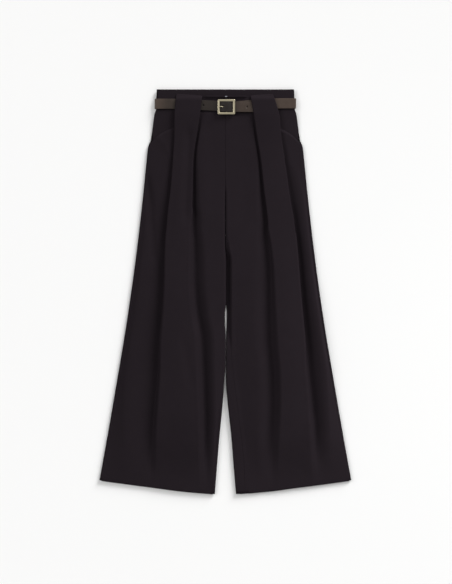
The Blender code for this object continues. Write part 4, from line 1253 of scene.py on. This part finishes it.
class Finish:
    """A material made of nodes."""

    def __init__(self, name):
        old = bpy.data.materials.get(name)
        if old:
            bpy.data.materials.remove(old)
        self.material = bpy.data.materials.new(name)
        self.material.use_nodes = True
        self.tree = self.material.node_tree
        self.shader = self.tree.nodes["Principled BSDF"]

    def node(self, kind, settings, values, output=0):
        made = self.tree.nodes.new(kind)
        for name, value in settings.items():
            setattr(made, name, value)
        for name, value in values.items():
            self.feed(made.inputs[name], value)
        return Shade(self, made.outputs[output])

    def feed(self, socket, value):
        if isinstance(value, Shade):
            self.tree.links.new(value.socket, socket)
        else:
            socket.default_value = value

    def set(self, **values):
        for name, value in values.items():
            self.feed(self.shader.inputs[name.replace("_", " ")], value)

    def coordinates(self, where, scale=(1.0, 1.0, 1.0)):
        found = self.node("ShaderNodeTexCoord", {}, {}, where)
        return self.node("ShaderNodeVectorMath", {"operation": "MULTIPLY"}, {0: found, 1: scale})

    def noise(self, vector, scale, detail=2.0, roughness=0.5):
        values = {"Vector": vector, "Scale": scale, "Detail": detail, "Roughness": roughness}
        return self.node("ShaderNodeTexNoise", {}, values)

    def blend(self, share, first, second):
        values = {0: share, 6: first, 7: second}
        return self.node("ShaderNodeMix", {"data_type": "RGBA"}, values, 2)

    def smooth(self, value, start, end):
        """Rises from 0 to 1 between two values, softly at both ends."""
        values = {"Value": value, "From Min": start, "From Max": end}
        return self.node("ShaderNodeMapRange", {"interpolation_type": "SMOOTHSTEP"}, values)

    def bump(self, height, strength, distance):
        values = {"Height": height, "Strength": strength, "Distance": distance}
        return self.node("ShaderNodeBump", {}, values)


def darker(colour, share):
    """The colour at a share of its brightness; a share above one makes it paler."""
    return (colour[0] * share, colour[1] * share, colour[2] * share, 1.0)


# A wave texture at a scale of one repeats every WAVE_TURN / WAVE_RATE metres.
WAVE_TURN, WAVE_RATE = 6.28, 20
# Stretches of the belt along which its leather is painted paler: painted light that grows away from the
# buckle, where the dark leather left is painted shade. From x, to x, and by how much.
PAINTED_LIGHT_LEFT = ((0.014, 0.045, 0.55), (0.06, 0.15, 0.2))
PAINTED_LIGHT_RIGHT = ((-0.012, -0.035, 0.07), (-0.07, -0.12, 0.22))
PAINTED_LIGHT_RIGHT_SIDE = (-0.15, -0.185, 0.5)
# Grain lines are drawn this close to the edges of the grain's cells.
GRAIN_LINE = 0.05


def cloth_finish(settings):
    """Matt twill: fine diagonal ribs, single fibres, a slow change of tone over the panels, and painted
    light making it paler towards +x.
    """
    finish = Finish(CLOTH_FINISH)
    uv = finish.coordinates("UV")
    where = finish.coordinates("Object")
    pitch = settings.rib_pitch
    ribs = finish.node(
        "ShaderNodeTexWave",
        {"wave_type": "BANDS", "bands_direction": "DIAGONAL", "wave_profile": "SIN"},
        {"Vector": uv, "Scale": 1 / pitch / WAVE_RATE * WAVE_TURN, "Distortion": 0.6, "Detail": 1.0},
        1,
    )
    fibres = finish.noise(uv, scale=1800.0, detail=3.0)
    slow = finish.noise(where, scale=7.0, detail=3.0, roughness=0.55)
    patches = finish.noise(where, scale=45.0, detail=4.0, roughness=0.6)
    # The place's x paints light onto the cloth: it grows paler towards +x, the side the stronger light
    # comes from.
    across = finish.node("ShaderNodeSeparateXYZ", {}, {0: where})
    shade = slow * 0.5 + patches * 0.3 + fibres * 0.2 + across * 0.8
    light = finish.blend(shade, darker(settings.colour, 0.82), darker(settings.colour, 1.22))
    colour = finish.blend(ribs * 0.35, light, darker(settings.colour, 0.75))
    height = ribs * 0.5 + fibres * 0.5
    finish.set(
        Base_Color=colour,
        Roughness=0.80 + patches * 0.14,
        Normal=finish.bump(height, strength=0.5, distance=pitch * 0.12),
        Specular_IOR_Level=0.0,
        Sheen_Weight=settings.sheen,
        Sheen_Roughness=0.4,
    )
    return finish.material


def leather_finish(settings):
    """Smooth brown leather with a fine grain and worn patches; painted shade at the buckle, painted light
    away from it.
    """
    finish = Finish("smooth_leather")
    where = finish.coordinates("Object")
    grain = finish.node(
        "ShaderNodeTexVoronoi", {"feature": "DISTANCE_TO_EDGE"}, {"Vector": where, "Scale": 1100.0}
    )
    pores = finish.noise(where, scale=2600.0, detail=3.0)
    wear = finish.noise(where, scale=38.0, detail=4.0, roughness=0.6)
    along = finish.node("ShaderNodeSeparateXYZ", {}, {0: where})

    def paler(start, end, much):
        return finish.smooth(along, start, end) * much

    left, right = (paler(*near) + paler(*far) for near, far in (PAINTED_LIGHT_LEFT, PAINTED_LIGHT_RIGHT))
    # The stretches paint light onto the leather away from the buckle and leave painted shade at it; only
    # the wear noise is real wear.
    wear_and_painted_light = left + right + paler(*PAINTED_LIGHT_RIGHT_SIDE) + wear * 0.25 - 0.05
    shade = finish.blend(wear_and_painted_light, darker(settings.leather, 0.25), darker(settings.leather, 2.75))
    lines = grain.math("LESS_THAN", GRAIN_LINE) * 0.4
    finish.set(
        Base_Color=finish.blend(lines, shade, darker(settings.leather, 0.6)),
        Roughness=0.42 + wear * 0.16,
        Normal=finish.bump(grain * 0.6 + pores * 0.4, strength=0.35, distance=0.0001),
        Specular_IOR_Level=0.3,
    )
    return finish.material


def metal_finish(name, colour):
    """Plated metal with faint brushing and small dull spots."""
    finish = Finish(name)
    spots = finish.noise(finish.coordinates("Object"), scale=420.0, detail=4.0, roughness=0.6)
    brush = finish.noise(finish.coordinates("Object", (400.0, 3000.0, 400.0)), scale=1.0)
    finish.set(
        Base_Color=finish.blend(spots, darker(colour, 0.9), darker(colour, 1.08)),
        Metallic=1.0,
        Roughness=0.34 + spots * 0.08,
        Normal=finish.bump(brush, strength=0.04, distance=0.00003),
    )
    return finish.material


def floor_finish(settings):
    finish = Finish("floor")
    tint = finish.noise(finish.coordinates("Object"), scale=3.0)
    finish.set(
        Base_Color=finish.blend(tint, darker(settings.floor, 0.998), darker(settings.floor, 1.002)),
        Roughness=0.9,
        Specular_IOR_Level=0.1,
    )
    return finish.material


def cloth_material():
    return bpy.data.materials.get(CLOTH_FINISH) or cloth_finish(bpy.context.scene.trousers_cloth)


def metal_material():
    colour = bpy.context.scene.trousers_belt.metal
    return bpy.data.materials.get(METAL_FINISH) or metal_finish(METAL_FINISH, colour)


def colour_property(name, description, default):
    return bpy.props.FloatVectorProperty(
        name=name, description=description, subtype="COLOR", size=3, min=0.0, max=1.0, default=default
    )


def number_property(name, description, default, **limits):
    return bpy.props.FloatProperty(name=name, description=description, default=default, **limits)


class ClothSettings(bpy.types.PropertyGroup):
    colour: colour_property("Cloth", "Colour of the trouser cloth", (0.0180, 0.0139, 0.0169))
    rib_pitch: number_property(
        "Rib pitch", "Distance between the twill's ribs", 0.0007, min=0.0001, unit="LENGTH", precision=5
    )
    sheen: number_property("Sheen", "Soft light from the cloth's fibres", 0.0, min=0.0, max=1.0)


class BeltSettings(bpy.types.PropertyGroup):
    leather: colour_property("Leather", "Colour of the belt", (0.027, 0.0185, 0.0140))
    metal: colour_property("Metal", "Colour of the buckle", (0.56, 0.50, 0.355))
    hook: colour_property("Hook", "Colour of the waistband's hook", (0.42, 0.42, 0.46))


class StudioSettings(bpy.types.PropertyGroup):
    floor: colour_property("Floor", "Colour of the floor", (0.93, 0.93, 0.925))
    camera_height: number_property(
        "Camera height", "Height of the camera above the floor", 4.0, unit="LENGTH"
    )
    side_light: number_property(
        "Side light", "Strength of the light from the right; the left has less", 3.4, min=0.0
    )
    softbox: number_property("Softbox", "Power of the softbox on the right", 1.1, min=0.0, unit="POWER")
    softness: number_property(
        "Softness", "Angle over which each side light spreads", 0.45, subtype="ANGLE"
    )
    room: number_property("Room", "Strength of the light from all round", 0.497)


class TROUSERS_OT_fronts(bpy.types.Operator):
    """Lays the two pleated front panels"""

    bl_idname = "trousers.fronts"
    bl_label = "Front Panels"

    def execute(self, context):
        for leg, word in SIDES:
            made = build_front(leg, word)
        return {"FINISHED"}


class TROUSERS_OT_backs(bpy.types.Operator):
    """Lays the two back panels under the fronts"""

    bl_idname = "trousers.backs"
    bl_label = "Back Panels"

    def execute(self, context):
        for leg, word in SIDES:
            build_back(leg, word)
        return {"FINISHED"}


class TROUSERS_OT_facings(bpy.types.Operator):
    """Lays the pocket facings between the fronts and the backs"""

    bl_idname = "trousers.facings"
    bl_label = "Pocket Facings"

    def execute(self, context):
        for leg, word in SIDES:
            build_facing(leg, word)
        return {"FINISHED"}


class TROUSERS_OT_waistbands(bpy.types.Operator):
    """Makes the front and back waistbands"""

    bl_idname = "trousers.waistbands"
    bl_label = "Waistbands"

    def execute(self, context):
        build_back_waistband()
        for leg, word in SIDES:
            build_front_waistband(leg, word)
        return {"FINISHED"}


class TROUSERS_OT_loops(bpy.types.Operator):
    """Makes the two belt loops on the back"""

    bl_idname = "trousers.loops"
    bl_label = "Belt Loops"

    def execute(self, context):
        for leg, word in SIDES:
            build_back_loop(leg, word)
        return {"FINISHED"}


class TROUSERS_OT_belt(bpy.types.Operator):
    """Makes the leather belt with its holes"""

    bl_idname = "trousers.belt"
    bl_label = "Belt"

    def execute(self, context):
        build_belt(leather_finish(context.scene.trousers_belt))
        return {"FINISHED"}


class TROUSERS_OT_metalwork(bpy.types.Operator):
    """Makes the buckle, its prong and the waist hook"""

    bl_idname = "trousers.metalwork"
    bl_label = "Buckle and Hook"

    def execute(self, context):
        build_buckle(metal_material())
        build_prong(metal_material())
        build_hook(metal_finish("bright_steel", context.scene.trousers_belt.hook))
        return {"FINISHED"}


class TROUSERS_OT_stage(bpy.types.Operator):
    """Sets the floor, the lights and the camera"""

    bl_idname = "trousers.stage"
    bl_label = "Stage"

    def execute(self, context):
        build_stage(context.scene.trousers_studio)
        return {"FINISHED"}


class TROUSERS_PT_panel(bpy.types.Panel):
    bl_label = "Palazzo Trousers"
    bl_idname = "TROUSERS_PT_panel"
    bl_space_type = "VIEW_3D"
    bl_region_type = "UI"
    bl_category = "Trousers"

    def draw(self, context):
        layout = self.layout
        scene = context.scene
        for settings in (scene.trousers_cloth, scene.trousers_belt, scene.trousers_studio):
            box = layout.box()
            for name in settings.__annotations__:
                box.prop(settings, name)
        for operator in OPERATORS:
            layout.operator(operator.bl_idname)


# The stage: where the two soft suns stand and how much of the side light each gives, the softbox, the
# floor, and the photograph's size, its scale in millimetres a pixel, and where the waist is in it.
SUNS = ((0.6, 0.8, 0.36, 1.0), (-0.85, 0.3, 0.6, 0.26))
SOFTBOX_SIZE, SOFTBOX_PLACE = (0.8, 1.4), (1.25, -0.25, 0.8)
FLOOR_HALF, FLOOR_HEIGHT = 4.0, -0.0004
PIXELS = (452, 584)
PIXEL_SIZE = 2.7
CENTRE_COLUMN, WAIST_ROW = 225.4, 89.73
CAMERA_CLIP = 0.1


def build_stage(settings):
    bpy.context.scene.view_settings.view_transform = "Standard"
    mesh = bmesh.new()
    bmesh.ops.create_grid(mesh, x_segments=1, y_segments=1, size=FLOOR_HALF)
    bmesh.ops.translate(mesh, vec=(0, 0, FLOOR_HEIGHT), verts=mesh.verts)
    floor = make_object("floor", mesh, floor_finish(settings))
    place_lights(settings)
    place_camera(settings)


def turn_to_centre(made, direction):
    """Turns a lamp so that it shines from a direction to the centre."""
    made.rotation_euler = Vector(direction).to_track_quat("Z", "Y").to_euler()


def place_lights(settings):
    world = bpy.data.worlds.new("room")
    bpy.context.scene.world = world
    world.use_nodes = True
    sky = world.node_tree.nodes["Background"]
    sky.inputs["Color"].default_value = (1.0, 1.0, 1.0, 1.0)
    sky.inputs["Strength"].default_value = settings.room
    for x, y, z, share in SUNS:
        lamp = bpy.data.lights.new("side_light", "SUN")
        lamp.energy = settings.side_light * share
        lamp.angle = settings.softness
        turn_to_centre(link_object("side_light", lamp), (x, y, z))
    lamp = bpy.data.lights.new("softbox", "AREA")
    lamp.shape = "RECTANGLE"
    lamp.size, lamp.size_y = SOFTBOX_SIZE
    lamp.energy = settings.softbox
    softbox = link_object("softbox", lamp)
    softbox.location = SOFTBOX_PLACE
    turn_to_centre(softbox, SOFTBOX_PLACE)


def place_camera(settings):
    """Straight above, so that the waist and the centre line fall on their places in the photograph."""
    width, height = PIXELS
    across = (width / 2 - CENTRE_COLUMN) * PIXEL_SIZE
    drop = (height / 2 - WAIST_ROW) * PIXEL_SIZE
    camera = bpy.data.cameras.new("camera")
    camera.lens = camera.sensor_width * settings.camera_height / (height * PIXEL_SIZE * MM)
    camera.clip_start = CAMERA_CLIP
    stand = link_object("camera", camera)
    stand.location = (across * MM, (LENGTH / 2 - drop) * MM, settings.camera_height)
    bpy.context.scene.camera = stand


OPERATORS = (
    TROUSERS_OT_backs,
    TROUSERS_OT_facings,
    TROUSERS_OT_fronts,
    TROUSERS_OT_waistbands,
    TROUSERS_OT_loops,
    TROUSERS_OT_belt,
    TROUSERS_OT_metalwork,
    TROUSERS_OT_stage,
)
SETTINGS = (
    ("trousers_cloth", ClothSettings),
    ("trousers_belt", BeltSettings),
    ("trousers_studio", StudioSettings),
)


def register():
    for name, group in SETTINGS:
        bpy.utils.register_class(group)
        setattr(bpy.types.Scene, name, bpy.props.PointerProperty(type=group))
    for operator in OPERATORS:
        bpy.utils.register_class(operator)
    bpy.utils.register_class(TROUSERS_PT_panel)


def unregister():
    bpy.utils.unregister_class(TROUSERS_PT_panel)
    for operator in reversed(OPERATORS):
        bpy.utils.unregister_class(operator)
    for name, group in reversed(SETTINGS):
        delattr(bpy.types.Scene, name)
        bpy.utils.unregister_class(group)


def main():
    register()
    for operator in OPERATORS:
        group, name = operator.bl_idname.split(".")
        getattr(getattr(bpy.ops, group), name)()


if __name__ == "__main__":
    main()
